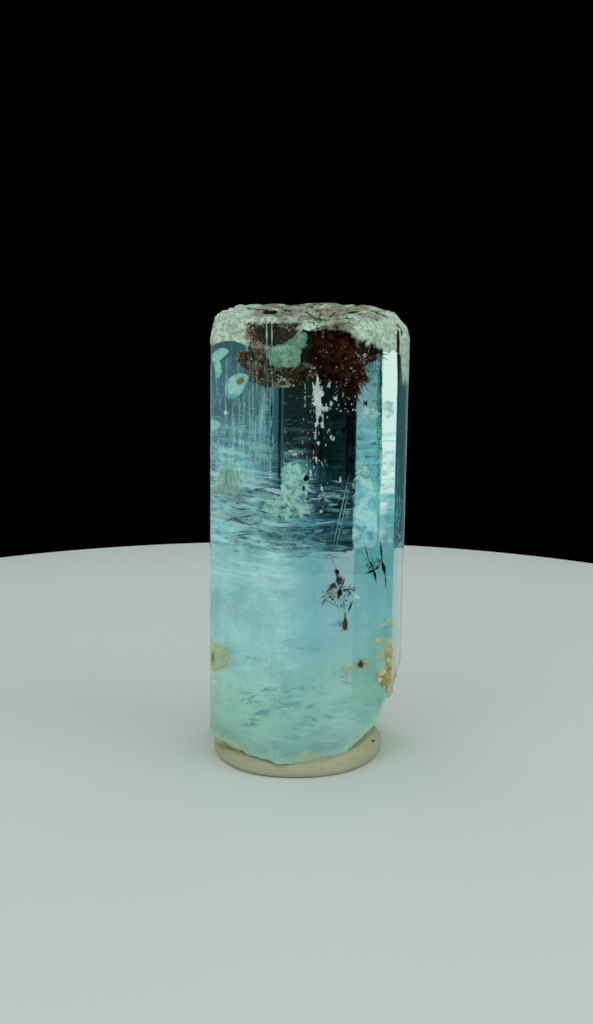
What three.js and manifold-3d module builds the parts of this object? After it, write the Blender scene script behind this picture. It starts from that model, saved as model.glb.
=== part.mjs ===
// A rough aquamarine crystal standing upright in a pressed lump of display putty.
//
// Millimetres, +Z up. The origin is at the centre of the footprint, on the surface the putty rests on.
// The front is -Y, where the long upright edge between the two front faces points.
//
// The crystal is one six-sided prism. Its top is an etched, slightly hollowed end with worn corners, and
// its foot is a rounded break. A pit in the top holds a crust of iron oxide, and the putty below is
// squeezed up around the break.
import * as THREE from "three";
import { mergeVertices } from "three/addons/utils/BufferGeometryUtils.js";
import Module from "manifold-3d";

const wasm = await Module();
wasm.setup();

const DEGREE = Math.PI / 180;

// Overall height of the crystal's top above the resting surface, and its lean to the right in the putty,
// about the height where the section's distances below are given.
const TOP_Z = 37.5;
const LEAN = 0.7 * DEGREE;
const LEAN_PIVOT_Z = 25;
// Shared gap between pieces that touch in the real object.
const GAP = 0.3;

// The six side faces: the way each one faces, in degrees from -Y towards +X, and its distance from the axis.
const SIDE_FACES = [
  { name: "front_right", heading: 20, distance: 5.87 },
  { name: "right", heading: 80, distance: 7.68 },
  { name: "back_right", heading: 140, distance: 8.65 },
  { name: "back", heading: 200, distance: 8.52 },
  { name: "left", heading: 260, distance: 7.67 },
  { name: "front_left", heading: 320, distance: 6.69 },
];
// How much each upright edge is worn off, measured along the faces beside it.
const EDGE_WEAR = 0.14;
// How far the worn rim of the top reaches in, and how steeply it falls.
const RIM_WEAR = 0.5;
const RIM_FALL = 1.1;
// Worn corners of the top, as planes that meet the upright edge after a side face at a height: a steep one
// and a slanting one at the left, a broad one at the front right, and a low one at the right.
const WORN_CORNERS = [
  { after: "left", z: 35.1, direction: [-1.9, -0.5, 1] },
  { after: "left", z: 34.9, direction: [-0.75, -0.85, 1] },
  { after: "front_right", z: 34.5, direction: [1.06, -0.54, 1] },
  { after: "right", z: 34.9, direction: [1.1, 0.3, 1] },
];
// The broken foot: the lowest point of its shallow bowl, and how it curves up from there.
const FOOT_LOW = { x: -0.9, y: -3.6, z: 0.7 };
const FOOT_CURVE = { across: 0.026, front: 0.03, back: 0.011 };
// The chip that climbs the foot's right side in front view, as [distance to the right of the axis, height].
const CHIP_OUTLINE = [
  [1.8, 0.6], [3.2, 1.35], [4.7, 2.6], [5.7, 3.4], [6.2, 4.2], [6.6, 5.5], [7.4, 6.5], [8.1, 8.2], [10, 10.5],
];
// A knob of crystal that stands on the chip's rim, at the front right edge.
const KNOB = { inward: [-0.55, 0.35], z: 7.6, radii: [0.75, 0.85, 1.9] };
// The pit in the top, as two lumps that run together. Shrinking both by the gap gives the crust's own shape.
const PIT_LUMPS = [
  { centre: [2.3, -1.5, 35.2], radii: [3.4, 3.0, 4.3], seed: 0 },
  { centre: [-2.7, -1.3, 36.2], radii: [3.1, 2.7, 3.9], seed: 5 },
];
// The crust stops this far below the top, and has one small open hole at its left.
const CRUST_DEPTH = 0.75;
const CRUST_HOLE = { centre: [-3.1, -0.7, 36.6], radii: [0.65, 1.1, 1.9] };
// The putty: a pressed disc, with one fold squeezed up at the right.
const PUTTY = { x: -0.57, y: -0.05, radius: 7.3, rim: 1.15, fold: 2.35 };
// The disc's section, as [share of the radius, share of the height].
const PUTTY_SECTION = [
  [0, 0], [0.955, 0], [0.99, 0.08], [1, 0.3], [0.985, 0.62], [0.93, 0.88], [0.84, 1], [0, 1],
];

// The crystal's material and the two others, as colours and surface values.
const LOOKS = {
  aquamarine: { color: 0x8fc8c8, roughness: 0.08, metalness: 0, transparent: true, opacity: 0.6 },
  ironOxide: { color: 0x4a2314, roughness: 0.6, metalness: 0 },
  putty: { color: 0xb9b39a, roughness: 0.85, metalness: 0 },
};

// Outward direction of a side face, as a level unit vector.
function outward(heading) {
  return new THREE.Vector2(Math.sin(heading * DEGREE), -Math.cos(heading * DEGREE));
}

// Corner where two neighbouring side faces meet.
function cornerOf(first, second) {
  const [a, b] = [outward(first.heading), outward(second.heading)];
  const cross = a.x * b.y - a.y * b.x;
  return new THREE.Vector2(
    (first.distance * b.y - second.distance * a.y) / cross,
    (a.x * second.distance - b.x * first.distance) / cross,
  );
}

const CORNERS = SIDE_FACES.map((face, i) => cornerOf(face, SIDE_FACES[(i + 1) % SIDE_FACES.length]));
// The corner between the named side face and the next one round.
const cornerAfter = (name) => CORNERS[SIDE_FACES.findIndex((face) => face.name === name)];

// A repeatable value from 0 to 1 for a point of a lattice.
function latticeValue(i, j, k) {
  const wave = Math.sin(i * 127.1 + j * 311.7 + k * 74.7) * 43758.5453;
  return wave - Math.floor(wave);
}

// Smooth bumps from -1 to 1, one bump to each unit of length.
function bumps(x, y, z = 0) {
  const [i, j, k] = [x, y, z].map(Math.floor);
  const [u, v, w] = [x - i, y - j, z - k].map((t) => t * t * (3 - 2 * t));
  let sum = 0;
  for (const [a, wa] of [[0, 1 - u], [1, u]])
    for (const [b, wb] of [[0, 1 - v], [1, v]])
      for (const [c, wc] of [[0, 1 - w], [1, w]]) sum += wa * wb * wc * latticeValue(i + a, j + b, k + c);
  return 2 * sum - 1;
}

// A geometry as a closed solid, with only its shared positions kept.
function toSolid(geometry) {
  const bare = new THREE.BufferGeometry().setAttribute("position", geometry.getAttribute("position"));
  if (geometry.index) bare.setIndex(geometry.index);
  const merged = mergeVertices(bare, 1e-4);
  return new wasm.Manifold(
    new wasm.Mesh({
      numProp: 3,
      vertProperties: new Float32Array(merged.attributes.position.array),
      triVerts: new Uint32Array(merged.index.array),
    }),
  );
}

function toGeometry(solid) {
  const mesh = solid.getMesh();
  const geometry = new THREE.BufferGeometry();
  geometry.setAttribute("position", new THREE.BufferAttribute(new Float32Array(mesh.vertProperties), 3));
  geometry.setIndex(new THREE.BufferAttribute(new Uint32Array(mesh.triVerts), 1));
  return geometry;
}

const common = (a, b) => toGeometry(toSolid(a).intersect(toSolid(b)));
const cut = (a, b) => toGeometry(toSolid(a).subtract(toSolid(b)));
const join = (a, b) => toGeometry(toSolid(a).add(toSolid(b)));

// A block under, or over, a height surface: height(x, y) on a square grid, closed by a level face at flatZ.
function reliefBlock(height, flatZ, halfWidth, step) {
  const count = Math.round((2 * halfWidth) / step);
  const position = [];
  const index = [];
  const at = (i, j, layer) => layer * (count + 1) ** 2 + j * (count + 1) + i;
  for (const layer of [0, 1])
    for (let j = 0; j <= count; j++)
      for (let i = 0; i <= count; i++) {
        const x = -halfWidth + (2 * halfWidth * i) / count;
        const y = -halfWidth + (2 * halfWidth * j) / count;
        position.push(x, y, layer ? height(x, y) : flatZ);
      }
  const quad = (a, b, c, d) => index.push(a, b, c, a, c, d);
  for (let j = 0; j < count; j++)
    for (let i = 0; i < count; i++) {
      quad(at(i, j, 1), at(i + 1, j, 1), at(i + 1, j + 1, 1), at(i, j + 1, 1));
      quad(at(i, j, 0), at(i, j + 1, 0), at(i + 1, j + 1, 0), at(i + 1, j, 0));
    }
  for (let i = 0; i < count; i++) {
    quad(at(i, 0, 0), at(i + 1, 0, 0), at(i + 1, 0, 1), at(i, 0, 1));
    quad(at(i + 1, count, 0), at(i, count, 0), at(i, count, 1), at(i + 1, count, 1));
    quad(at(0, i + 1, 0), at(0, i, 0), at(0, i, 1), at(0, i + 1, 1));
    quad(at(count, i, 0), at(count, i + 1, 0), at(count, i + 1, 1), at(count, i, 1));
  }
  if (height(0, 0) < flatZ)
    for (let t = 0; t < index.length; t += 3) [index[t + 1], index[t + 2]] = [index[t + 2], index[t + 1]];
  const geometry = new THREE.BufferGeometry();
  geometry.setAttribute("position", new THREE.Float32BufferAttribute(position, 3));
  return geometry.setIndex(index);
}

// A round lump: an ellipsoid whose surface is pushed in and out by bumps.
function lump(centre, radii, roughness, bumpSize, segments = 26, seed = 0) {
  const geometry = new THREE.SphereGeometry(1, segments, Math.round(segments * 0.62));
  geometry.rotateX(Math.PI / 2);
  const position = geometry.getAttribute("position");
  const point = new THREE.Vector3();
  for (let i = 0; i < position.count; i++) {
    point.fromBufferAttribute(position, i);
    const [x, y, z] = [point.x * radii[0], point.y * radii[1], point.z * radii[2]];
    const swell = 1 + roughness * bumps(x / bumpSize + seed, y / bumpSize + 7.3, z / bumpSize + 3.1);
    position.setXYZ(i, centre[0] + x * swell, centre[1] + y * swell, centre[2] + z * swell);
  }
  return geometry;
}

// Removes everything beyond a plane through a point, on the side its direction shows.
function trimmed(geometry, point, direction) {
  const size = 60;
  const block = new THREE.BoxGeometry(size, size, size).translate(0, 0, size / 2);
  block.applyQuaternion(
    new THREE.Quaternion().setFromUnitVectors(new THREE.Vector3(0, 0, 1), direction.clone().normalize()),
  );
  block.translate(point.x, point.y, point.z);
  return cut(geometry, block);
}

// The prism's outline: six corners, each worn to a narrow strip.
function prismOutline() {
  const shape = new THREE.Shape();
  CORNERS.forEach((corner, i) => {
    const before = CORNERS[(i + CORNERS.length - 1) % CORNERS.length];
    const after = CORNERS[(i + 1) % CORNERS.length];
    for (const other of [before, after]) {
      const worn = corner.clone().add(other.clone().sub(corner).setLength(EDGE_WEAR));
      if (i === 0 && other === before) shape.moveTo(worn.x, worn.y);
      else shape.lineTo(worn.x, worn.y);
    }
  });
  shape.closePath();
  return shape;
}

// Height of the chip at a distance across, on the straight lines between its outline's points.
function chipHeight(across) {
  const next = CHIP_OUTLINE.findIndex(([x]) => x > across);
  if (next <= 0) return next ? CHIP_OUTLINE.at(-1)[1] : CHIP_OUTLINE[0][1];
  const [[x0, z0], [x1, z1]] = [CHIP_OUTLINE[next - 1], CHIP_OUTLINE[next]];
  return z0 + ((z1 - z0) * (across - x0)) / (x1 - x0);
}

// Height of the broken foot: a shallow bowl, and on its right a rounded chip that climbs the side.
function footHeight(x, y) {
  const [dx, dy] = [x - FOOT_LOW.x, y - FOOT_LOW.y];
  const alongY = dy < 0 ? FOOT_CURVE.front : FOOT_CURVE.back;
  const bowl = FOOT_LOW.z + FOOT_CURVE.across * dx * dx + alongY * dy * dy;
  const chip = chipHeight(x - 0.12 * (y + 4));
  const ledges = 0.16 * bumps(x / 1.5, y / 1.5) + 0.07 * bumps(x / 0.7 + 9, y / 0.7);
  return Math.max(bowl, chip) + ledges;
}

// How far a point of the section lies inside the nearest side face.
function inset(x, y) {
  return Math.min(...SIDE_FACES.map((face) => face.distance - outward(face.heading).dot({ x, y })));
}

// Height of the etched top: nearly level, with small hillocks and grooves, a hollow and a worn rim.
function topHeight(x, y) {
  const hillocks = 0.15 * bumps(x / 1.7 + 4, y / 1.1) + 0.09 * bumps(x / 0.75, y / 0.75 + 11);
  const hollow = 0.35 * Math.exp(-((x / 4.6) ** 2) - ((y / 3.6) ** 2));
  const worn = Math.max(0, RIM_WEAR + 0.25 * bumps(x / 0.9, y / 0.9 + 5) - inset(x, y));
  return TOP_Z + hillocks - hollow - RIM_FALL * worn;
}

function pitShape(shrink, segments) {
  return PIT_LUMPS.map(({ centre, radii, seed }) =>
    lump(centre, radii.map((r) => r - shrink), 0.16, 1.9, segments, seed),
  ).reduce(join);
}

function crystalGeometry() {
  const prism = new THREE.ExtrudeGeometry(prismOutline(), { depth: TOP_Z + 2, bevelEnabled: false });
  const halfWidth = 9.6;
  let crystal = common(prism, reliefBlock(topHeight, -5, halfWidth, 0.48));
  crystal = common(crystal, reliefBlock(footHeight, 60, halfWidth, 0.66));
  for (const { after, z, direction } of WORN_CORNERS) {
    const { x, y } = cornerAfter(after);
    crystal = trimmed(crystal, new THREE.Vector3(x, y, z), new THREE.Vector3(...direction));
  }
  const { x, y } = cornerAfter("front_right");
  const knobCentre = [x + KNOB.inward[0], y + KNOB.inward[1], KNOB.z];
  const knob = lump(knobCentre, KNOB.radii, 0.25, 0.8, 14, 2);
  return largestPiece(cut(join(crystal, knob), pitShape(0, 24)));
}

// The crust fills the pit to just under the rim, and leaves one dark hole at its left.
function crustGeometry() {
  const rubble = (x, y) =>
    TOP_Z - CRUST_DEPTH + 0.35 * bumps(x / 1.2 + 2, y / 1.2) + 0.2 * bumps(x / 0.6, y / 0.6);
  const filled = common(pitShape(GAP, 24), reliefBlock(rubble, 25, 8, 0.5));
  const hole = lump(CRUST_HOLE.centre, CRUST_HOLE.radii, 0.15, 0.8, 12, 3);
  return largestPiece(cut(filled, hole));
}

function puttyGeometry(crystal) {
  const profile = PUTTY_SECTION.map(([share, height]) => new THREE.Vector2(share, height));
  const geometry = new THREE.LatheGeometry(profile, 44);
  geometry.rotateX(Math.PI / 2);
  const position = geometry.getAttribute("position");
  for (let i = 0; i < position.count; i++) {
    const [x, y, height] = [position.getX(i), position.getY(i), position.getZ(i)];
    const angle = Math.atan2(y, x);
    const reach = PUTTY.radius * (1 + 0.01 * Math.sin(3 * angle + 0.6) + 0.01 * Math.sin(5 * angle));
    const toRight = Math.exp(-(((angle + 0.35) / 0.62) ** 2));
    const rise = PUTTY.rim + (PUTTY.fold - PUTTY.rim) * toRight * Math.hypot(x, y);
    const dent = 0.08 * bumps(x * 3.1 + 5, y * 3.1) * height;
    position.setXYZ(i, PUTTY.x + x * reach, PUTTY.y + y * reach, height * rise + dent);
  }
  // The crystal's foot presses into it. The same foot moved a gap down and sideways clears the seat.
  let pressed = geometry;
  for (const [dx, dy, dz] of [[0, 0, -GAP], [GAP, 0, 0], [-GAP, 0, 0], [0, GAP, 0], [0, -GAP, 0]])
    pressed = cut(pressed, crystal.clone().translate(dx, dy, dz));
  return largestPiece(pressed);
}

// Keeps the largest of the separate bodies that a cut leaves.
function largestPiece(geometry) {
  const bodies = toSolid(geometry).decompose();
  return toGeometry(bodies.reduce((a, b) => (b.volume() > a.volume() ? b : a)));
}

function named(name, geometry, look) {
  const mesh = new THREE.Mesh(geometry, new THREE.MeshStandardMaterial(look));
  mesh.geometry.computeVertexNormals();
  mesh.name = name;
  return mesh;
}

const leaning = new THREE.Group();
leaning.rotation.y = LEAN;
leaning.position.x = -LEAN_PIVOT_Z * Math.sin(LEAN);
leaning.updateMatrixWorld(true);
const crystal = crystalGeometry();
leaning.add(named("aquamarine_crystal", crystal, LOOKS.aquamarine));
leaning.add(named("iron_oxide_crust", crustGeometry(), LOOKS.ironOxide));

const specimen = new THREE.Group();
specimen.add(leaning);
const pressedFoot = crystal.clone().applyMatrix4(leaning.matrixWorld);
specimen.add(named("display_putty", puttyGeometry(pressedFoot), LOOKS.putty));

// Centres the footprint on the origin and sets the putty's underside at height 0.
specimen.updateMatrixWorld(true);
const box = new THREE.Box3().setFromObject(specimen);
specimen.position.set(-(box.min.x + box.max.x) / 2, -(box.min.y + box.max.y) / 2, -box.min.z);

export default specimen;
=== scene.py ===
# %% [markdown]
# # A rough aquamarine standing in display putty
#
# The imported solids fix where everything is. This lesson dresses them: it makes the clear crystal again with
# a finer surface, fills it with the things that grew in it, and lights it as a stone on a pale turntable.
# Lengths are in millimetres until a piece is made, because a crystal of this size is thought of in them.

# %% Load the fixed frame
import math
from functools import partial

import bmesh
import bpy
import numpy as np
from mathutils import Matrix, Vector


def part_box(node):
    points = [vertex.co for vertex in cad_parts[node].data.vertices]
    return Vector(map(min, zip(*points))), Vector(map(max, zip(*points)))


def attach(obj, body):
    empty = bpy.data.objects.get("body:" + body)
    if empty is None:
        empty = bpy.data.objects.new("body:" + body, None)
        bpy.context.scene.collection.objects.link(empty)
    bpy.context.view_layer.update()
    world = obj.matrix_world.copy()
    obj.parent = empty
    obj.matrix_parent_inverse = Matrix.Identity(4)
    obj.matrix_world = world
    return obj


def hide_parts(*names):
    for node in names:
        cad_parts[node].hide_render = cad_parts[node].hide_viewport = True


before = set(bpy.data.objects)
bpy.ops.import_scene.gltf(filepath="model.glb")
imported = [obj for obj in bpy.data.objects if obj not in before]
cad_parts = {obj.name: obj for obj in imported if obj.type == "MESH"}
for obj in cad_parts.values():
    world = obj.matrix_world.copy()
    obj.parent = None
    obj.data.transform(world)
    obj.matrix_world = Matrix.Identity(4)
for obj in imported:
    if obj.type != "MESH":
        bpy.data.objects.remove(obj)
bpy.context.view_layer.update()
MM = 0.001
MERGE_MM = 1e-4
scene = bpy.context.scene

# %% [markdown]
# ## Random bumps as a formula
#
# An etched or broken surface is uneven at several sizes at once. A lattice of repeatable values, blended
# smoothly between its corners, gives such bumps for whole arrays of points, and the same ones every run.

# %% Bumps
def lattice_value(i, j, k):
    """A repeatable value from 0 to 1 for each lattice point: the fraction of a large, fast sine."""
    wave = np.sin(i * 127.1 + j * 311.7 + k * 74.7) * 43758.5453
    return wave - np.floor(wave)


def bumps(x, y, z=0.0):
    """Smooth bumps from -1 to 1: the eight lattice values round a point, blended by 3t^2 - 2t^3 each way."""
    x, y, z = np.broadcast_arrays(x, y, z)
    i, j, k = np.floor(x), np.floor(y), np.floor(z)
    u, v, w = (t * t * (3 - 2 * t) for t in (x - i, y - j, z - k))
    total = np.zeros(x.shape)
    for a, b, c in np.ndindex(2, 2, 2):
        share = (u if a else 1 - u) * (v if b else 1 - v) * (w if c else 1 - w)
        total += share * lattice_value(i + a, j + b, k + c)
    return 2 * total - 1


def ease(value, start, end):
    """0 before start, 1 after end, and 3t^2 - 2t^3 between them."""
    t = np.clip((value - start) / (end - start), 0, 1)
    return t * t * (3 - 2 * t)


# %% [markdown]
# ## From arrays to a mesh
#
# Every new piece is a grid of points worked out with numpy. One helper puts the points and faces of a grid into
# Blender, and another rides the piece on the frame's body.

# %% Grid and mesh helpers
def grid_faces(rows, columns, wrap=False, first=0):
    """Quads of a grid of rows x columns points, numbered along each row. With wrap, each row closes up."""
    r = np.arange(rows - 1)[:, None]
    c = np.arange(columns if wrap else columns - 1)[None, :]
    right = (c + 1) % columns
    here, above = r * columns, (r + 1) * columns
    return np.stack([here + c, here + right, above + right, above + c], -1).reshape(-1, 4) + first


def make_piece(name, points, faces, slot, smooth=True, values=None):
    """One mesh object from points in mm in the frame's axes, its faces as rows of 3 or 4 point numbers, and
    named values for its points. Points that coincide, as at a pole, are merged."""
    mesh = bpy.data.meshes.new(name)
    mesh.vertices.add(len(points))
    mesh.vertices.foreach_set("co", (np.asarray(points) * MM).astype(np.float32).ravel())
    mesh.loops.add(faces.size)
    mesh.loops.foreach_set("vertex_index", faces.astype(np.int32).ravel())
    mesh.polygons.add(len(faces))
    mesh.polygons.foreach_set("loop_start", np.arange(0, faces.size, faces.shape[1], dtype=np.int32))
    for label, numbers in (values or {}).items():
        layer = mesh.attributes.new(label, "FLOAT", "POINT")
        layer.data.foreach_set("value", np.asarray(numbers, dtype=np.float32).ravel())
    mesh.update(calc_edges=True)
    shape = bmesh.new()
    shape.from_mesh(mesh)
    bmesh.ops.remove_doubles(shape, verts=shape.verts, dist=MERGE_MM * MM)
    shape.to_mesh(mesh)
    shape.free()
    mesh.polygons.foreach_set("use_smooth", np.full(len(mesh.polygons), smooth))
    piece = bpy.data.objects.new(name, mesh)
    scene.collection.objects.link(piece)
    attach(piece, "root")
    print(f"{name}: {len(mesh.vertices)} points, {len(mesh.polygons)} faces")
    return piece


# %% [markdown]
# ## The prism
#
# Aquamarine is beryl, and beryl grows as a six-sided prism. A side face is given by the way it looks and
# its distance from the axis. A sum of high powers of those six distances gives an outline with flat sides.
# The edges between the sides are slightly worn, so six narrow planes across the corners join the sum.

# %% Outline of the prism
LEAN = math.radians(0.7)
HEADINGS = np.radians([20, 80, 140, 200, 260, 320])
DISTANCES = np.array([5.87, 7.68, 8.65, 8.52, 7.67, 6.69])
FACE_NORMALS = np.stack([np.sin(HEADINGS), -np.cos(HEADINGS)], 1)
# How far each edge is worn back, from the one at the right of the front right side, round to the front edge.
EDGE_WEAR = np.array([0.06, 0.13, 0.22, 0.13, 0.13, 0.03])
EDGE_SHARPNESS = 400
AROUND_EACH_FACE = 72


def corners_of(distances):
    """Where each side face meets the next one round."""
    pairs = [[face, (face + 1) % 6] for face in range(6)]
    return np.array([np.linalg.solve(FACE_NORMALS[pair], distances[pair]) for pair in pairs])


CORNERS = corners_of(DISTANCES)


def prism_outline(inset=0.0, per_face=AROUND_EACH_FACE):
    """Points round the prism, inset mm inside its sides: on each side, closer together towards the corners by
    a cosine, then pulled in to the radius whose powered distances to all the planes add up to 1."""
    corners = corners_of(DISTANCES - inset)
    share = 0.5 - 0.5 * np.cos(np.pi * np.arange(per_face) / per_face)
    starts = np.roll(corners, 1, axis=0)
    points = (starts[:, None] + (corners - starts)[:, None] * share[None, :, None]).reshape(-1, 2)
    spans = np.linalg.norm(corners, axis=1)
    planes = np.concatenate([FACE_NORMALS, corners / spans[:, None]])
    reach = np.clip(points @ planes.T / np.concatenate([DISTANCES - inset, spans - EDGE_WEAR]), 0, None)
    return points / (reach ** EDGE_SHARPNESS).sum(1, keepdims=True) ** (1 / EDGE_SHARPNESS)


outline = prism_outline()
print("prism, mm across:", np.round(np.ptp(outline, axis=0), 2))

# %% [markdown]
# ## The etched top and the broken foot
#
# Both ends are heights over the section. The top is nearly level, with hillocks that acid left, a worn rim
# and corners worn to slanting planes. The foot is a shallow bowl with a chip that climbs its right side. A
# height for every place is enough here, since neither end hangs over itself.

# %% Heights of the two ends
TOP_Z = 37.45
RIM_WEAR, RIM_FALL = 0.5, 1.1
# Planes that wear the top's corners: the corner's number, its height there, and the plane's direction.
WORN_CORNERS = [
    (4, 35.1, (-1.9, -0.5, 1)),
    (4, 34.9, (-0.75, -0.85, 1)),
    (0, 34.5, (1.06, -0.54, 1)),
    (1, 34.9, (1.1, 0.3, 1)),
]
# The front left corner's planes arch over the pit: at this X, this wide and this much.
ARCHED_CORNER, ARCH_X, ARCH_WIDTH, ARCH_RISE = 4, -6.3, 1.2, 0.5
FOOT_LOW = (-0.9, -3.6, 0.7)
# The chip's edge as seen from the front, as X and height.
CHIP_OUTLINE = np.array([
    (1.8, 0.6), (3.2, 1.35), (4.7, 2.6), (5.7, 3.4), (6.2, 4.2), (6.6, 5.5), (7.4, 6.5), (8.1, 8.2), (10, 10.5),
])


def top_height(x, y):
    """Level ground, plus hillocks and pits at two sizes each, less a hollow and a worn rim, and no higher
    than any worn corner's plane."""
    inset = (DISTANCES - np.stack([x, y], -1) @ FACE_NORMALS.T).min(-1)
    hillocks = 0.15 * bumps(x / 1.7 + 4, y / 1.1) + 0.09 * bumps(x / 0.75, y / 0.75 + 11)
    pits = 0.05 * bumps(x / 0.33, y / 0.33, 3.5) + 0.02 * bumps(x / 0.16, y / 0.16, 8.5)
    hollow = 0.35 * np.exp(-((x / 4.6) ** 2) - (y / 3.6) ** 2)
    worn = np.clip(RIM_WEAR + 0.25 * bumps(x / 0.9, y / 0.9 + 5) - inset, 0, None)
    height = TOP_Z + hillocks + pits - hollow - RIM_FALL * worn
    for corner, z, (a, b, c) in WORN_CORNERS:
        plane = z - (a * (x - CORNERS[corner, 0]) + b * (y - CORNERS[corner, 1])) / c
        if corner == ARCHED_CORNER:
            plane = plane + ARCH_RISE * np.exp(-(((x - ARCH_X) / ARCH_WIDTH) ** 2))
        height = np.minimum(height, plane + 0.5 * pits + 0.06 * bumps(x / 0.5, y / 0.5, 1.5))
    return height


def foot_height(x, y):
    """A bowl, steeper in front than behind, or the chip's outline where that is higher, plus small ledges."""
    dx, dy = x - FOOT_LOW[0], y - FOOT_LOW[1]
    bowl = FOOT_LOW[2] + 0.026 * dx ** 2 + np.where(dy < 0, 0.03, 0.011) * dy ** 2
    chip = np.interp(x - 0.12 * (y + 4), CHIP_OUTLINE[:, 0], CHIP_OUTLINE[:, 1])
    ledges = 0.16 * bumps(x / 1.5, y / 1.5) + 0.07 * bumps(x / 0.7 + 9, y / 0.7)
    return np.maximum(bowl, chip) + ledges + 0.035 * bumps(x / 0.3, y / 0.3, 2.5)


# %% [markdown]
# ## One closed crystal
#
# The clear stone bends light at every face, so it has to be one closed body with true flat sides. One grid
# does it: rings out from the middle of the foot, levels up the sides, and rings in to the middle of the
# top. Rows lie closer together near the rims, where the surface turns.

# %% The crystal's grid
CAP_RINGS, SIDE_LEVELS = 66, 50


def toward_rim(count):
    """Shares from the axis to the rim, closer together near the rim by a sine."""
    return np.sin(0.5 * np.pi * np.linspace(0, 1, count))


def crystal_grid():
    """Rows x columns points of the whole crystal: foot rings, side levels, then top rings."""
    shares = toward_rim(CAP_RINGS)[:, None, None]
    rings = shares * outline[None]
    foot = np.concatenate([rings, foot_height(rings[..., 0], rings[..., 1])[..., None]], -1)
    top = np.concatenate([rings, top_height(rings[..., 0], rings[..., 1])[..., None]], -1)[::-1]
    climb = (0.5 - 0.5 * np.cos(np.pi * np.linspace(0, 1, SIDE_LEVELS + 2)[1:-1]))[:, None, None]
    sides = foot[-1] * (1 - climb) + top[0] * climb
    return np.concatenate([foot, sides, top])


def into_frame(points, shift):
    """Leans points of the upright crystal right about Y, and moves them to their place in the frame."""
    x, y, z = np.moveaxis(np.asarray(points, dtype=float), -1, 0)
    cosine, sine = math.cos(LEAN), math.sin(LEAN)
    return np.stack([x * cosine + z * sine, y, z * cosine - x * sine], -1) + shift


crystal_points = crystal_grid()
# Where the frame holds the upright crystal's axis, at height 0.
shift = np.array([-0.4352, -1.1314, 0.0])
held = np.array(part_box("aquamarine_crystal")) / MM
leaned = into_frame(crystal_points, shift).reshape(-1, 3)
print("crystal beyond its solid, mm:", np.round([held[0] - leaned.min(0), leaned.max(0) - held[1]], 3))

# %% [markdown]
# ## Finishes
#
# Each material is a few nodes. Patterns read Object coordinates, stretched from metres to millimetres, so
# that a scale of 1 means one bump to the millimetre. Each helper below adds a node or two.

# %% Node helpers
def new_material(name):
    """An empty node material, with its output node."""
    material = bpy.data.materials.new(name)
    material.use_nodes = True
    material.node_tree.nodes.clear()
    return material, material.node_tree, material.node_tree.nodes.new("ShaderNodeOutputMaterial")


def add_node(tree, kind, **settings):
    """A node with its settings and socket values. A value that is a socket of another node is linked."""
    made = tree.nodes.new("ShaderNode" + kind)
    for key, value in settings.items():
        words = key.replace("_", " ")
        names = [socket.name for socket in made.inputs]
        target = next((n for n in names if n.lower() == words.lower()), None)
        if target is None:
            setattr(made, key, value)
        elif isinstance(value, bpy.types.NodeSocket):
            tree.links.new(value, made.inputs[target])
        else:
            made.inputs[target].default_value = value
    return made


def millimetres(tree, stretch=(1, 1, 1)):
    """Object coordinates in millimetres, stretched along each axis."""
    place = add_node(tree, "TexCoord").outputs["Object"]
    return add_node(tree, "Mapping", Vector=place, Scale=[s / MM for s in stretch]).outputs["Vector"]


def speckle(tree, place, scale=1.0, **settings):
    """Smooth noise from 0 to 1 over a place."""
    return add_node(tree, "TexNoise", Vector=place, Scale=scale, **settings).outputs["Fac"]


def combined(tree, operation, first, second):
    """A product, sum or the like of two values, each of them a number or another node's socket."""
    made = add_node(tree, "Math", operation=operation)
    for socket, value in zip(made.inputs, (first, second)):
        if isinstance(value, bpy.types.NodeSocket):
            tree.links.new(value, socket)
        else:
            socket.default_value = value
    return made.outputs["Value"]


def graded(tree, value, low, high, to_low=0.0, to_high=1.0, curve="LINEAR"):
    """A value taken from the range low to high into the range to_low to to_high, and kept inside it."""
    return add_node(
        tree, "MapRange", interpolation_type=curve, Value=value, From_Min=low, From_Max=high, To_Min=to_low,
        To_Max=to_high,
    ).outputs["Result"]


def mixed(tree, share, first, second):
    """A colour between two, each of them a socket or its red, green and blue."""
    first, second = (c if isinstance(c, bpy.types.NodeSocket) else (*c, 1) for c in (first, second))
    return add_node(tree, "MixRGB", Fac=share, Color1=first, Color2=second).outputs["Color"]


def stepped(tree, value, stops):
    """A colour picked by a value from stops, each a place from 0 to 1 with its red, green and blue."""
    ramp = add_node(tree, "ValToRGB", Fac=value)
    while len(ramp.color_ramp.elements) < len(stops):
        ramp.color_ramp.elements.new(0.5)
    for element, (place, colour) in zip(ramp.color_ramp.elements, stops):
        element.position, element.color = place, (*colour, 1)
    return ramp.outputs["Color"]


def attribute(tree, name):
    """A named value of the mesh's points."""
    return add_node(tree, "Attribute", attribute_name=name).outputs["Fac"]


def coat(tree, output, **settings):
    """The shader that a finish ends in, with its sockets set and linked to the output."""
    paint = add_node(tree, "BsdfPrincipled", **settings)
    tree.links.new(paint.outputs["BSDF"], output.inputs["Surface"])
    return paint


# %% [markdown]
# ## Clear beryl
#
# The upper half of the stone is clear, pale blue glass to the eye. Plain transmission with beryl's index
# bends the view through it as the real faces do. The blue isn't on the surface: the stone takes a little
# red from light for each millimetre on the way through, so a volume that absorbs gives the tint.

# %% Clear beryl
BERYL_IOR = 1.575
ETCHED_ROUGHNESS = 0.42
# What a millimetre of the stone takes from red, green and blue light.
TAKEN_PER_MM = np.array([0.0245, 0.0045, 0.0028])
# Fine upright lines left by growth on the side faces: bumps per mm along each axis, and their depth in mm.
GROWTH_LINES, LINE_DEPTH = (2.2, 2.2, 0.16), 0.02


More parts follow.
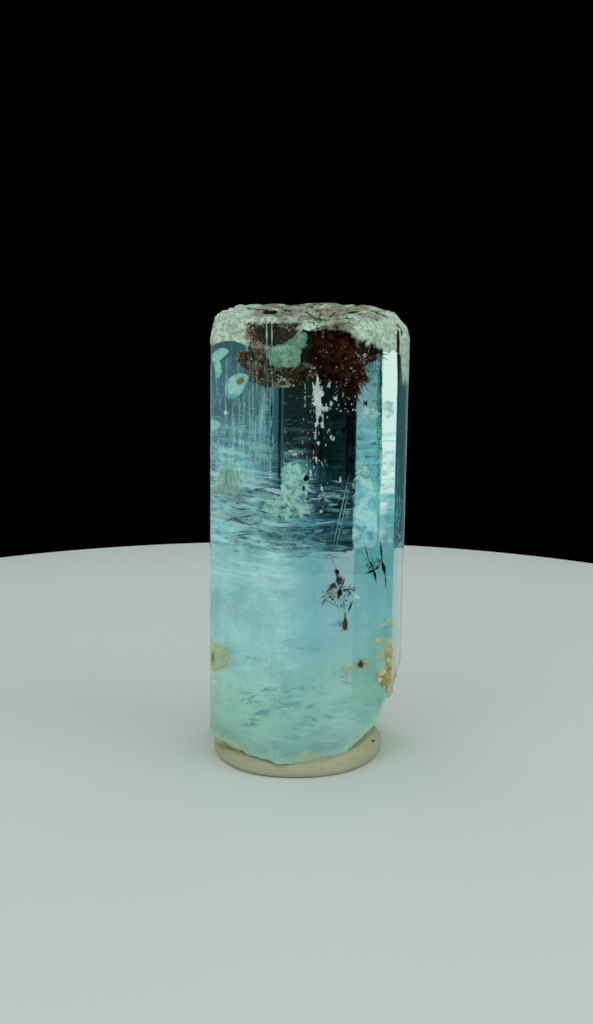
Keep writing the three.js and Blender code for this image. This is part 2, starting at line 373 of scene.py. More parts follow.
def beryl_material():
    """Clear glass of beryl's index, rougher where etched. Rays on their way to a lamp pass its surface
    unbent, so that the lamps light what is inside."""
    material, tree, output = new_material("clear_beryl")
    rough = graded(tree, attribute(tree, "etch"), 0, 1, 0, ETCHED_ROUGHNESS)
    lines = speckle(tree, millimetres(tree, GROWTH_LINES), Detail=3.0)
    bump = add_node(tree, "Bump", Strength=0.12, Distance=LINE_DEPTH * MM, Height=lines)
    glass = add_node(
        tree, "BsdfPrincipled", Base_Color=(1, 1, 1, 1), IOR=BERYL_IOR, Transmission_Weight=1.0,
        Roughness=rough, Normal=bump.outputs["Normal"],
    )
    passing = add_node(tree, "MixShader", Fac=add_node(tree, "LightPath").outputs["Is Shadow Ray"])
    tree.links.new(glass.outputs["BSDF"], passing.inputs[1])
    tree.links.new(add_node(tree, "BsdfTransparent").outputs["BSDF"], passing.inputs[2])
    tree.links.new(passing.outputs["Shader"], output.inputs["Surface"])
    most = TAKEN_PER_MM.max()
    inside = add_node(tree, "VolumeAbsorption", Color=[*(1 - TAKEN_PER_MM / most), 1], Density=float(most / MM))
    tree.links.new(inside.outputs["Volume"], output.inputs["Volume"])
    print(f"clear beryl: index {BERYL_IOR}, takes {most} of red per mm")
    return material


# %% [markdown]
# ## Placing what shows inside the stone
#
# The crystal bends every ray, so a needle inside it isn't where it seems to be. The camera's place is
# known, and a ray through a pixel of the photograph is bent at the first face by Snell's law. A point some
# way along the bent ray then shows at that pixel. Inclusions are laid out this way, by where they are seen
# and how deep.

# %% The photograph's camera, and points behind its pixels
PHOTO_WIDTH, PHOTO_HEIGHT = 593, 1024
FOCAL_PIXELS = 1570
CAMERA_PLACE = np.array([-1.080, -129.831, 48.4])
PITCH_DOWN = math.radians(12.1)
# How many pixels of the photograph a millimetre covers at the front of the stone.
PIXELS_PER_MM = 11.9


def upright(points, is_direction=False):
    """Undoes into_frame: from the frame's axes to the upright crystal's."""
    x, y, z = np.moveaxis(points if is_direction else points - shift, -1, 0)
    return np.stack([x * math.cos(LEAN) - z * math.sin(LEAN), y, z * math.cos(LEAN) + x * math.sin(LEAN)], -1)


def pixels_of(points):
    """Where points of the upright crystal fall in the photograph, looking straight at them."""
    x, y, z = np.moveaxis(into_frame(points, shift) - CAMERA_PLACE, -1, 0)
    cosine, sine = math.cos(PITCH_DOWN), math.sin(PITCH_DOWN)
    forward, down = y * cosine - z * sine, -z * cosine - y * sine
    across = PHOTO_WIDTH / 2 + FOCAL_PIXELS * x / forward
    return np.stack([across, PHOTO_HEIGHT / 2 + FOCAL_PIXELS * down / forward], -1)


def behind_pixel(pixels, depth):
    """Points of the upright crystal that show at photo pixels from depth mm behind the first face met: the
    ray enters the side face it reaches last, and bends towards its normal by the ratio of the two indices."""
    pixels = np.asarray(pixels, dtype=float)
    right = (pixels[..., 0] - PHOTO_WIDTH / 2) / FOCAL_PIXELS
    down = (pixels[..., 1] - PHOTO_HEIGHT / 2) / FOCAL_PIXELS
    cosine, sine = math.cos(PITCH_DOWN), math.sin(PITCH_DOWN)
    ray = np.stack([right, cosine - down * sine, -sine - down * cosine], -1)
    ray = upright(ray / np.linalg.norm(ray, axis=-1, keepdims=True), is_direction=True)
    eye = upright(CAMERA_PLACE)
    facing = ray[..., :2] @ FACE_NORMALS.T
    reach = (DISTANCES - eye[:2] @ FACE_NORMALS.T) / np.where(facing < 0, facing, -1e-9)
    reach = np.where(facing < 0, reach, -np.inf)
    first = reach.argmax(-1)
    normal = np.concatenate([FACE_NORMALS[first], np.zeros((*first.shape, 1))], -1)
    into = -(ray * normal).sum(-1, keepdims=True)
    bent_into = np.sqrt(1 - (1 - into ** 2) / BERYL_IOR ** 2)
    bent = ray / BERYL_IOR + (into / BERYL_IOR - bent_into) * normal
    return eye + ray * reach.max(-1)[..., None] + bent * np.asarray(depth, dtype=float)[..., None]


centre_seen = pixels_of(crystal_points.reshape(-1, 3).mean(0))
print("middle of the crystal at pixel", np.round(centre_seen, 1), "of the photograph")

# %% [markdown]
# ## Lenses and spindles
#
# Drops, blobs, films and stains are closed lenses over an outline. Needles, plates and sparks are small
# eight-sided spindles with three half lengths of their own. Both come as arrays, so that thousands of them
# join in one mesh.

# %% Lenses
def smooth_loop(knots, count):
    """A closed curve through the knots, each stretch a cubic that leaves and meets its knots along the line
    between their neighbours."""
    knots = np.asarray(knots, dtype=float)
    place = np.linspace(0, len(knots), count, endpoint=False)
    i = place.astype(int)
    t = (place - i)[:, None]
    a, b, c, d = (knots[(i + step) % len(knots)] for step in (-1, 0, 1, 2))
    return 0.5 * (2 * b + (c - a) * t + (2 * a - 5 * b + 4 * c - d) * t ** 2 + (3 * b - a - 3 * c + d) * t ** 3)


def lens(knots, depth, thickness, rings=9, around=56, ragged=0.0, lumps=0.0, size=6.0, seed=0.0):
    """A closed lens behind an outline of photo pixels. A ring at share s of the outline lies thickness / 2
    times the root of 1 - s^2 before and behind its middle depth. ragged waves its rim, lumps its faces."""
    loop = smooth_loop(knots, around)
    centre = loop.mean(0)
    wave = 1 + ragged * bumps(loop[:, 0] / 2.3 + seed, loop[:, 1] / 2.3)[:, None]
    share = np.sin(0.5 * np.pi * np.linspace(0, 1, rings))
    share, side = np.concatenate([share, share[-2::-1]]), np.r_[-np.ones(rings), np.ones(rings - 1)]
    pixels = centre + (loop - centre) * wave * share[:, None, None]
    swell = 1 + lumps * bumps(pixels[..., 0] / size + seed, pixels[..., 1] / size)
    depths = depth + (side * np.sqrt(1 - share ** 2))[:, None] * 0.5 * thickness * swell
    return behind_pixel(pixels, depths).reshape(-1, 3), grid_faces(2 * rings - 1, around, wrap=True)


def lenses(shapes, **settings):
    """A lens for each (outline, depth, thickness), with its place in the list as its seed."""
    return [lens(*shape, seed=number, **settings) for number, shape in enumerate(shapes)]


# %% Spindles and needles
SPINDLE_FACES = np.array([
    (0, 2, 4), (2, 1, 4), (1, 3, 4), (3, 0, 4), (2, 0, 5), (1, 2, 5), (3, 1, 5), (0, 3, 5),
])
# Needles spread square to this slanting direction and to their own length.
NEEDLE_GUIDE = [0.31, 0.52, 0.79]


def spindles(centres, long, wide, thin):
    """Eight-sided bodies: from each centre, a corner each way along three half axes."""
    ends = [centres + side * axis for axis in (long, wide, thin) for side in (1, -1)]
    corners = np.stack(ends, 1)
    first = 6 * np.arange(len(centres))[:, None, None]
    return corners.reshape(-1, 3), (SPINDLE_FACES[None] + first).reshape(-1, 3)


def unit(vectors):
    """The same directions with length 1."""
    return vectors / np.linalg.norm(vectors, axis=-1, keepdims=True)


def needles(starts, ends, width):
    """Spindles from starts to ends, half of width out each way in two directions square to them."""
    along = (ends - starts) / 2
    wide = unit(np.cross(along, NEEDLE_GUIDE))
    thin = unit(np.cross(along, wide))
    half = np.broadcast_to(np.asarray(width) / 2, len(starts))[:, None]
    return spindles((starts + ends) / 2, along, wide * half, thin * half)


def needles_behind(rows, depth):
    """Needles behind the photograph: each row is a start pixel, an end pixel and the width in pixels."""
    rows = np.array(rows, dtype=float)
    depths = np.full(len(rows), depth)
    starts, ends = behind_pixel(rows[:, 0:2], depths), behind_pixel(rows[:, 2:4], depths)
    return needles(starts, ends, rows[:, 4] / PIXELS_PER_MM)


def together(parts):
    """Several (points, faces) pairs as one, with the faces renumbered."""
    first = np.cumsum([0] + [len(points) for points, _ in parts[:-1]])
    return np.concatenate([p for p, _ in parts]), np.concatenate([f + n for (_, f), n in zip(parts, first)])


def grown(name, parts, material, slot="aquamarine", smooth=True, values=None):
    """A piece inside the crystal, joined from (points, faces) pairs in the upright crystal's axes."""
    points, faces = together(parts)
    piece = make_piece(name, into_frame(points, shift), faces, slot, smooth=smooth, values=values)
    piece.data.materials.append(material)
    return piece


SEED = 20
chance = np.random.default_rng(SEED)
print("pieces inside the stone are scattered by seed", SEED)

# %% [markdown]
# ## Finishes for what grew inside
#
# Pale films and flakes are milky, and rust is dark and rough. All of them vary in colour from spot to spot.
# Two node groups are shared: one mottles a colour with two others, and one gives a mist with thin patches.

# %% Mottle and mist groups
def new_group(name, inputs, outputs):
    """An empty node group whose sockets are given as names with kinds, with its inputs and outputs."""
    tree = bpy.data.node_groups.new(name, "ShaderNodeTree")
    for side, sockets in (("INPUT", inputs), ("OUTPUT", outputs)):
        for socket, kind in sockets.items():
            tree.interface.new_socket(socket, in_out=side, socket_type="NodeSocket" + kind)
    return tree, tree.nodes.new("NodeGroupInput").outputs, tree.nodes.new("NodeGroupOutput").inputs


FINER = 3.7
PATCH_EDGE = 0.07


def mottle_group():
    """Colour out of three, mixed by noise: the base, patches of a second, and spots of a third that are FINER
    times smaller. A share is how much of the range of the noise is covered."""
    tree, inputs, outputs = new_group(
        "mottle",
        {"Base": "Color", "Patches": "Color", "Spots": "Color", "Scale": "Float", "Patch Share": "Float",
         "Spot Share": "Float"},
        {"Color": "Color", "Height": "Float"},
    )
    place = millimetres(tree)
    broad = speckle(tree, place, inputs["Scale"], Detail=4.0, Roughness=0.6)
    fine = speckle(tree, place, combined(tree, "MULTIPLY", inputs["Scale"], FINER), Detail=3.0, Roughness=0.65)
    colour = inputs["Base"]
    for noise, share, other in ((broad, "Patch Share", "Patches"), (fine, "Spot Share", "Spots")):
        edge = combined(tree, "SUBTRACT", 1.0, inputs[share])
        mask = graded(tree, noise, combined(tree, "SUBTRACT", edge, PATCH_EDGE), edge)
        colour = mixed(tree, mask, colour, inputs[other])
    tree.links.new(colour, outputs["Color"])
    tree.links.new(fine, outputs["Height"])
    return tree


def mist_group():
    """Alpha from nothing up to Most, in patches of about 1 / Size mm."""
    tree, inputs, outputs = new_group("mist", {"Size": "Float", "Most": "Float"}, {"Alpha": "Float"})
    grains = speckle(tree, millimetres(tree), inputs["Size"], Detail=5.0, Roughness=0.65, Distortion=0.5)
    tree.links.new(graded(tree, grains, 0.42, 0.58, 0.0, inputs["Most"]), outputs["Alpha"])
    return tree


MOTTLE, MIST = mottle_group(), mist_group()
print("node groups:", MOTTLE.name, "and", MIST.name)

# %% [markdown]
# ## Three kinds of paint
#
# Solid things get a mottled paint with small bumps. Films get the same paint with the mist for its alpha,
# because a real film is never the same thickness all over. Loose grains are far smaller than any pattern,
# so each takes one tone of its own, which a ramp turns into a colour.

# %% Kinds of paint
def mottled_paint(name, base, patches, spots, scale=1.5, patch_share=0.5, spot_share=0.35, rough=0.6,
                  relief=0.03, **more):
    """A material mottled from three colours, with small bumps of relief mm. more sets shader sockets."""
    material, tree, output = new_material(name)
    mix = add_node(
        tree, "Group", node_tree=MOTTLE, Base=(*base, 1), Patches=(*patches, 1), Spots=(*spots, 1), Scale=scale,
        Patch_Share=patch_share, Spot_Share=spot_share,
    )
    bump = add_node(tree, "Bump", Strength=1.0, Distance=relief * MM, Height=mix.outputs["Height"])
    coat(tree, output, Base_Color=mix.outputs["Color"], Roughness=rough, Normal=bump.outputs["Normal"], **more)
    return material


def coat_of(material):
    """A painted material's node tree, and the shader in it."""
    return material.node_tree, material.node_tree.nodes["Principled BSDF"]


def misty_paint(name, base, patches, spots, most, size=1.6):
    """A mottled paint whose alpha is the mist, up to most."""
    material = mottled_paint(name, base, patches, spots, scale=1.2, Specular_IOR_Level=0.2)
    tree, paint = coat_of(material)
    mist = add_node(tree, "Group", node_tree=MIST, Size=size, Most=most)
    tree.links.new(mist.outputs["Alpha"], paint.inputs["Alpha"])
    return material


def grain_paint(name, stops, rough=0.5):
    """Paint for loose grains: each grain's "tone", 0 to 1, picks its colour from the stops."""
    material, tree, output = new_material(name)
    colour = stepped(tree, attribute(tree, "tone"), stops)
    coat(tree, output, Base_Color=colour, Roughness=rough, Specular_IOR_Level=0.2)
    return material


# %% [markdown]
# ## The paints
#
# Each has three colours: base, patches and spots. Rust is nearly black with red-brown spots. The films run
# from pale blue-green to olive and ochre, and the needles are black with a trace of red.

# %% Rust, hollows and needles
rust = mottled_paint(
    "rust", (0.008, 0.004, 0.003), (0.045, 0.011, 0.004), (0.13, 0.042, 0.013), patch_share=0.45,
    spot_share=0.42, rough=0.5, relief=0.12, Specular_IOR_Level=0.15,
)
mud = mottled_paint(
    "brown_film", (0.05, 0.036, 0.02), (0.17, 0.13, 0.08), (0.012, 0.009, 0.006), scale=1.6, spot_share=0.48,
    relief=0.1,
)
# Nearly black: the painted shade in the hollows under the rim.
hollow_shade_paint = mottled_paint(
    "hollow", (0.006, 0.006, 0.004), (0.02, 0.018, 0.01), (0.08, 0.075, 0.045), scale=1.8, spot_share=0.3,
)
black = mottled_paint(
    "dark_needle", (0.006, 0.003, 0.003), (0.016, 0.004, 0.003), (0.05, 0.014, 0.009), scale=3.0,
    Specular_IOR_Level=0.1,
)
# The palest rust tone is white: painted glints on the grains.
rust_grains_and_glints = grain_paint(
    "rust_grains_and_glints",
    [(0.0, (0.006, 0.003, 0.002)), (0.45, (0.022, 0.007, 0.003)), (0.70, (0.12, 0.022, 0.005)),
     (0.88, (0.26, 0.080, 0.016)), (0.975, (0.42, 0.24, 0.09)), (1.0, (0.9, 0.95, 0.9))],
    rough=0.3,
)
# The palest shelf tone is partly pale grains, partly painted highlights on them.
shelf_grains = grain_paint(
    "shelf_grains",
    [(0.0, (0.006, 0.005, 0.004)), (0.4, (0.04, 0.028, 0.014)), (0.6, (0.17, 0.12, 0.06)),
     (0.8, (0.30, 0.29, 0.18)), (1.0, (0.6, 0.7, 0.56))],
)
band_grains = grain_paint(
    "band_grains",
    [(0.0, (0.04, 0.020, 0.010)), (0.35, (0.19, 0.105, 0.05)), (0.7, (0.34, 0.24, 0.13)),
     (1.0, (0.55, 0.50, 0.38))],
)

# %% Films, flakes and stains
green_fog = misty_paint("green_fog", (0.34, 0.66, 0.56), (0.50, 0.80, 0.70), (0.06, 0.18, 0.20), 0.75)
band_fog = misty_paint("band_fog", (0.50, 0.86, 0.84), (0.60, 0.92, 0.90), (0.42, 0.80, 0.80), 0.5, size=0.6)
blue_shade = misty_paint("blue_shade", (0.12, 0.36, 0.43), (0.16, 0.42, 0.48), (0.08, 0.28, 0.34), 0.5)
pale_vein = mottled_paint(
    "pale_vein", (0.55, 0.85, 0.75), (0.40, 0.70, 0.60), (0.7, 0.95, 0.88), scale=2.0, Alpha=0.6)
pale_film = mottled_paint(
    "pale_film", (0.17, 0.56, 0.55), (0.42, 0.78, 0.75), (0.10, 0.42, 0.42), scale=0.6, rough=0.5, relief=0.02)
green_lump = mottled_paint(
    "green_lumps", (0.24, 0.54, 0.41), (0.36, 0.68, 0.54), (0.11, 0.30, 0.22), scale=2.2, rough=0.5,
    relief=0.25,
)
dark_veil = mottled_paint("dark_veil", (0.008, 0.05, 0.075), (0.015, 0.09, 0.12), (0.004, 0.025, 0.035))
# White for the column and the flakes; the flashes of flakes and the rust's glints are painted highlights.
white_flake_and_glint = mottled_paint(
    "white_flake_and_glint", (0.9, 0.93, 0.9), (0.75, 0.82, 0.8), (0.55, 0.62, 0.6), scale=2.0, rough=0.3, relief=0.02)
olive_stain = mottled_paint(
    "olive_stain", (0.20, 0.25, 0.06), (0.30, 0.36, 0.14), (0.12, 0.15, 0.04), scale=2.2)
olive_film = mottled_paint(
    "olive_film", (0.46, 0.48, 0.22), (0.54, 0.54, 0.25), (0.34, 0.34, 0.14), scale=0.8, Alpha=0.42)
ochre_crust = mottled_paint(
    "ochre_crust", (0.72, 0.74, 0.42), (0.50, 0.42, 0.14), (0.14, 0.08, 0.02), scale=1.8, spot_share=0.4,
    relief=0.1,
)
ochre_film = misty_paint("ochre_film", (0.60, 0.64, 0.32), (0.48, 0.46, 0.16), (0.20, 0.12, 0.04), 0.7)
ochre_grains = grain_paint(
    "ochre_grains",
    [(0.0, (0.10, 0.040, 0.012)), (0.3, (0.38, 0.28, 0.07)), (0.6, (0.64, 0.62, 0.28)),
     (1.0, (0.82, 0.84, 0.55))],
)
print("materials so far:", len(bpy.data.materials))

# %% [markdown]
# ## Etched skin on both ends
#
# Acid and breakage left both ends frosted. Grains of that frost scatter light, which glass alone can't do, so a
# thin skin follows the ends a hundredth of a millimetre outside the glass, and its alpha lets part of the stone
# show through. It fades out just past the rims. The same points carry brown stain, and the black that is painted
# shade in the hole and cracks.

# %% Where the frost, stain and cracks are
SKIN_LIFT = 0.01
SIDE_ROWS = 15
# The dark hole and cracks in the top, painted black as their shade, as pixels of the photograph along each, with
# half the width.
DARK_LINES = [
    ([(265, 312.4), (276, 312.6)], 2.3),
    ([(306, 312), (310, 315), (317, 319.6), (330, 320)], 1.0),
    ([(317, 320), (321.5, 314.5)], 0.9),
    ([(330, 317), (335, 313)], 0.8),
    ([(349, 313), (358, 312)], 0.9),
    ([(247, 308.4), (258, 309.6), (268, 310)], 0.6),
    ([(372, 311), (382, 315), (388, 318)], 0.8),
    ([(284, 310), (291, 311.5)], 0.8),
    ([(343, 318), (351, 319)], 0.7),
    ([(397, 325), (401, 329), (402, 335)], 0.7),
    ([(252, 324.6), (275, 323.8), (303, 324.4)], 0.7),
]
# Where the frost ends on the front, as pixels of the photograph from left to right.
FROST_EDGE = np.array([
    (205, 345), (213, 343), (220, 339), (230, 337.5), (238, 339), (245, 344), (248, 350), (250, 326),
    (268, 325), (305, 326), (318, 324), (338, 326), (349, 333), (364, 341), (379, 347), (388, 353),
    (398, 350), (400.5, 352), (402.5, 380), (412, 386),
])
# Brown patches on the top: the pixel at the middle, half the width and height, and how strong each is.
TOP_STAINS = [
    (262, 313, 11, 5, 0.9), (296, 310.5, 18, 3, 0.8), (330, 313, 18, 6, 0.9), (352, 310, 10, 4, 0.8),
    (368, 317, 9, 5, 0.6), (231, 331, 6, 5, 0.35), (248, 333, 5, 9, 0.9), (338, 326, 20, 5, 1.0),
    (300, 320, 6, 3, 0.5), (352, 322, 10, 4, 0.5),
]
# The span of the cap in the photograph, as the pixels where it fades in from the left, right and below.
CAP_LEFT, CAP_RIGHT, CAP_FRONT = (252, 266), (376, 392), (319, 323)
# Sides behind BACK_Y and left of NARROW_X aren't seen from the front, and their frost ends on its own.
NARROW_X, BACK_Y = 7.05, -1.5


def grid_normals(points):
    """Outward directions of a closed grid, columns times rows. A pole has the mean of the row beside it."""
    around = np.roll(points, -1, 1) - np.roll(points, 1, 1)
    normals = np.cross(around, np.gradient(points, axis=0))
    length = np.linalg.norm(normals, axis=-1, keepdims=True)
    normals = np.where(length > 1e-12, normals / np.maximum(length, 1e-12), 0)
    for pole, near in ((0, 1), (-1, -2)):
        normals[pole] = normals[near].mean(0) / np.linalg.norm(normals[near].mean(0))
    return normals


def distance_to_line(points, line):
    """Distance of each point to a line through several places: the least over its stretches."""
    line = np.asarray(line, dtype=float)
    starts, runs = line[:-1], np.diff(line, axis=0)
    share = ((points[..., None, :] - starts) * runs).sum(-1) / (runs ** 2).sum(-1)
    nearest = starts + np.clip(share, 0, 1)[..., None] * runs
    return np.linalg.norm(points[..., None, :] - nearest, axis=-1).min(-1)


def top_values(points, past_rim):
    """For points near the top, from 0 to 1: how much frost covers them, how brown they are, and how black, where
    the hole and cracks are painted in as shade and the cap gets dark specks. In front, the frost ends at its
    edge in the photograph. Behind, it ends a ragged way below the rim."""
    x, y = points[..., 0], points[..., 1]
    across, down = np.moveaxis(pixels_of(points), -1, 0)
    grainy = bumps(x / 0.25, y / 0.25, points[..., 2] / 0.25)
    behind = 1 - ease(past_rim, 0.0, 0.35 + 0.5 * (1 + bumps(x / 0.6, y / 0.6, 4.0)))
    past_edge = down - np.interp(across, *FROST_EDGE.T) + 3.5 * grainy
    in_front = 1 - ease(past_edge - 5.0 * (past_rim == 0), -1.5, 1.5)
    cover = np.where((past_rim > 0) & (y >= BACK_Y) & (x < NARROW_X), behind, in_front)
    on_cap = ease(across, *CAP_LEFT) * (1 - ease(across, *CAP_RIGHT)) * (1 - ease(down, *CAP_FRONT))
    stain = on_cap * ease(bumps(x / 1.1, y / 1.9, 7.0), -0.1, 0.4)
    for middle, height, half_width, half_height, strength in TOP_STAINS:
        spot = np.exp(-(((across - middle) / half_width) ** 2) - ((down - height) / half_height) ** 2)
        stain = np.maximum(stain, strength * ease(spot + 0.35 * grainy, 0.25, 0.75))
    specks = ease(-grainy - 0.55 * bumps(x / 0.9, y / 0.9, 2.0), 0.35, 0.6)
    dark = 0.85 * on_cap * specks
    # The hole and cracks are painted black as their shade.
    for line, half in DARK_LINES:
        away = distance_to_line(np.stack([across, down], -1), line) + 0.5 * grainy
        dark = np.maximum(dark, 1 - ease(away, 0.6 * half, 1.3 * half))
    return {"cover": cover, "stain": stain, "dark": dark * cover}


def foot_values(points, past_rim):
    """The same for points near the foot: full frost on the break and thinner just above it, and three ochre
    patches as bells, to the left, in the middle and at the chip."""
    x, y, z = np.moveaxis(points, -1, 0)
    ragged = 0.5 + 0.8 * (1 + bumps(x / 0.9, y / 0.9, z / 0.9))
    cover = np.where(past_rim > 0, 0.6 * (1 - ease(past_rim, 0.0, ragged)), 1.0)
    left = ease(-x, 4.2, 6.8) * ease(bumps(x / 0.8, y / 0.8, z / 0.5), -0.3, 0.4)
    middle = np.exp(-(((x + 0.6) / 1.3) ** 2) - ((y + 5.0) / 1.0) ** 2)
    chip = np.exp(-(((x - 7.6) / 0.8) ** 2) - ((z - 6.6) / 0.9) ** 2)
    stain = np.clip(0.8 * left + 0.6 * middle + 0.8 * chip, 0, 1)
    return {"cover": cover, "stain": stain, "dark": np.zeros(x.shape)}


# %% [markdown]
# ## The crystal
#
# The glass is rough where it is etched and polished elsewhere. An attribute on its points says which, and
# the skin of frost reads the same values, so that the two always meet.

# %% Make the crystal
is_side = np.zeros(len(crystal_points), dtype=bool)
is_side[CAP_RINGS:-CAP_RINGS] = True
levels = crystal_points[..., 2]
past_top, past_foot = (np.abs(levels - levels[rim]) * is_side[:, None] for rim in (-CAP_RINGS, CAP_RINGS - 1))
top_look, foot_look = top_values(crystal_points, past_top), foot_values(crystal_points, past_foot)
in_top_half = np.arange(len(crystal_points))[:, None] > len(crystal_points) / 2
etch = np.where(in_top_half, top_look["cover"], foot_look["cover"] * (past_foot == 0))
crystal = make_piece(
    "clear_aquamarine",
    into_frame(crystal_points, shift).reshape(-1, 3),
    grid_faces(*crystal_points.shape[:2], wrap=True),
    "aquamarine",
    values={"etch": etch},
)
crystal.data.materials.append(beryl_material())
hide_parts("aquamarine_crystal")

# %% [markdown]
# ## Frost on both ends
#
# The frost is a mottled paint as well, in three grey-greens. The stain is brown only in grains, as iron settles
# in the pits first, and where the skin is painted black as the shade of the hole and cracks it also loses its
# shine. The foot's frost is greener and thinner, its green partly the putty's painted in.

# %% Frost on both ends
# The black painted into the frost as the shade of the hole and cracks.
HOLE_SHADE_COLOUR = (0.01, 0.01, 0.008)
FROST_SHINE = 0.12


def skin_piece(name, rows, look, material):
    """The skin over some rows of the crystal's grid, with the look's values for them."""
    lifted = (crystal_points + SKIN_LIFT * grid_normals(crystal_points))[rows]
    values = {label: numbers[rows] for label, numbers in look.items()}
    points, faces = into_frame(lifted, shift).reshape(-1, 3), grid_faces(*lifted.shape[:2], wrap=True)
    skin = make_piece(name, points, faces, "aquamarine", values=values)
    skin.data.materials.append(material)
    return skin


def skin_material(name, base, patches, spots, stain, least, relief):
    """Frost in three mottled colours, stained where "stain" says, and painted black as shade where "dark" says.
    "cover" says how much of it there is, and the least alpha of its thin places is given."""
    material = mottled_paint(
        name, base, patches, spots, scale=0.8, patch_share=0.52, spot_share=0.45, rough=0.55, relief=relief)
    tree, paint = coat_of(material)
    clean = paint.inputs["Base Color"].links[0].from_socket
    stained, dark, cover = (attribute(tree, value) for value in ("stain", "dark", "cover"))
    grit = speckle(tree, millimetres(tree), 3.0, Detail=4.0, Roughness=0.7)
    share = combined(tree, "MULTIPLY", stained, graded(tree, grit, 0.40, 0.56, 0.45, 1))
    brown = mixed(tree, share, clean, stain)
    grains = speckle(tree, millimetres(tree), 4.5, Detail=3.0, Roughness=0.7)
    frosted = combined(tree, "MULTIPLY", graded(tree, grains, 0.4, 0.58, least, 1), cover)
    # Where "dark" says, the frost is painted black as shade and loses its shine.
    for socket, value in (
        ("Base Color", mixed(tree, dark, brown, HOLE_SHADE_COLOUR)),
        ("Specular IOR Level", graded(tree, dark, 0, 1, FROST_SHINE, 0)),
        ("Alpha", combined(tree, "MAXIMUM", frosted, dark)),
    ):
        tree.links.new(value, paint.inputs[socket])
    return material


top_frost = skin_material(
    "top_frost", (0.38, 0.57, 0.45), (0.56, 0.74, 0.60), (0.28, 0.42, 0.33), stain=(0.17, 0.13, 0.05),
    least=0.88, relief=0.12,
)
# The foot's frost is greener: partly its own colour, partly the putty's green under it painted in.
foot_frost = skin_material(
    "foot_frost", (0.42, 0.72, 0.54), (0.48, 0.78, 0.60), (0.37, 0.66, 0.52), stain=(0.60, 0.56, 0.24),
    least=0.75, relief=0.08,
)
skin_piece("etched_top", slice(-CAP_RINGS - SIDE_ROWS, None), top_look, top_frost)
skin_piece("broken_foot", slice(0, CAP_RINGS + SIDE_ROWS), foot_look, foot_frost)

# %% [markdown]
# ## Milky growth zones
#
# The lower half is cloudy: fluid in countless tiny cracks scatters light there. The clouds lie in layers
# that repeat the prism's own outline, one inside the other, as it grew. Four closed shells stand for them.
# Their alpha grows downwards from the middle and breaks into wavy level streaks at the upper end, where
# black shows between.

# %% Shells of the growth zones
ZONE_INSETS = (0.3, 1.2, 2.4, 3.9)
ZONE_TOP = 34.0


def zone_shell(inset, per_face=40, rings=26, levels=36):
    """A closed prism, inset mm inside the crystal and its foot, up to the level where the clouds end."""
    loop = prism_outline(inset, per_face)
    rings_xy = toward_rim(rings)[:, None, None] * loop
    foot = np.concatenate([rings_xy, foot_height(rings_xy[..., 0], rings_xy[..., 1])[..., None] + inset], -1)
    lid = np.concatenate([rings_xy, np.full(rings_xy.shape[:2] + (1,), ZONE_TOP)], -1)[::-1]
    climb = np.linspace(0, 1, levels + 2)[1:-1, None, None]
    shell = np.concatenate([foot, foot[-1] * (1 - climb) + lid[0] * climb, lid])
    return shell.reshape(-1, 3), grid_faces(len(shell), loop.shape[0], wrap=True)


# %% [markdown]
# ## How milky, and what colour
#
# Both follow the place in the stone. The milk is thickest at the lower left and thins out to the right.
# Above it the streaks begin, and the front left face has fine upright hairs. The colour runs from a green foot,
# partly the putty's green painted in, through pale aqua to a clearer blue among the streaks. Among the streaks
# it is paler on the left, as painted light from the left, and the milk is darker behind the middle, as painted
# shade.

# %% The milk
CLOUD_STRETCH, STREAK_STRETCH, HAIR_STRETCH = (0.28, 0.28, 0.34), (0.22, 0.22, 2.3), (4.2, 4.2, 0.3)


def milk_alpha(tree, axes, clouds, streaks):
    """Milk below a wavy level and streaks above it, plus hairs near the front left face."""
    grade = partial(graded, tree, curve="SMOOTHSTEP")
    times, plus = partial(combined, tree, "MULTIPLY"), partial(combined, tree, "ADD")
    level = plus(axes["Z"], times(axes["X"], 0.28))
    level = plus(level, grade(clouds, 0.3, 0.7, 1.5, -1.5))
    level = plus(level, grade(axes["X"], -3.0, 1.5, -1.0, 1.4))
    milk = times(grade(level, 20.5, 13.5), grade(clouds, 0.32, 0.68, 0.10, 0.46))
    milk = times(milk, grade(axes["Z"], 1.5, 8.0, 0.35, 1.0))
    milk = times(milk, grade(axes["X"], -3.5, 1.0, 1.5, 0.52))
    milk = times(milk, grade(streaks, 0.36, 0.62, 0.92, 1.08))
    band = times(grade(level, 26.5, 20.5), grade(axes["Z"], 15.0, 19.5))
    band = times(band, grade(axes["X"], -3.2, -0.6, 1.15, 0.28))
    band = times(band, grade(axes["X"], 3.6, 5.6, 1.0, 0.2))
    band = times(band, grade(streaks, 0.49, 0.65, 0.0, 0.55))
    hairs = speckle(tree, millimetres(tree, HAIR_STRETCH), Detail=4.0)
    upper = times(grade(axes["Z"], 23.0, 26.0), grade(axes["X"], -2.4, -3.2))
    upper = times(upper, grade(axes["Y"], -1.5, -3.5))
    return plus(times(upper, grade(hairs, 0.52, 0.68, 0.0, 0.28)), plus(milk, band))


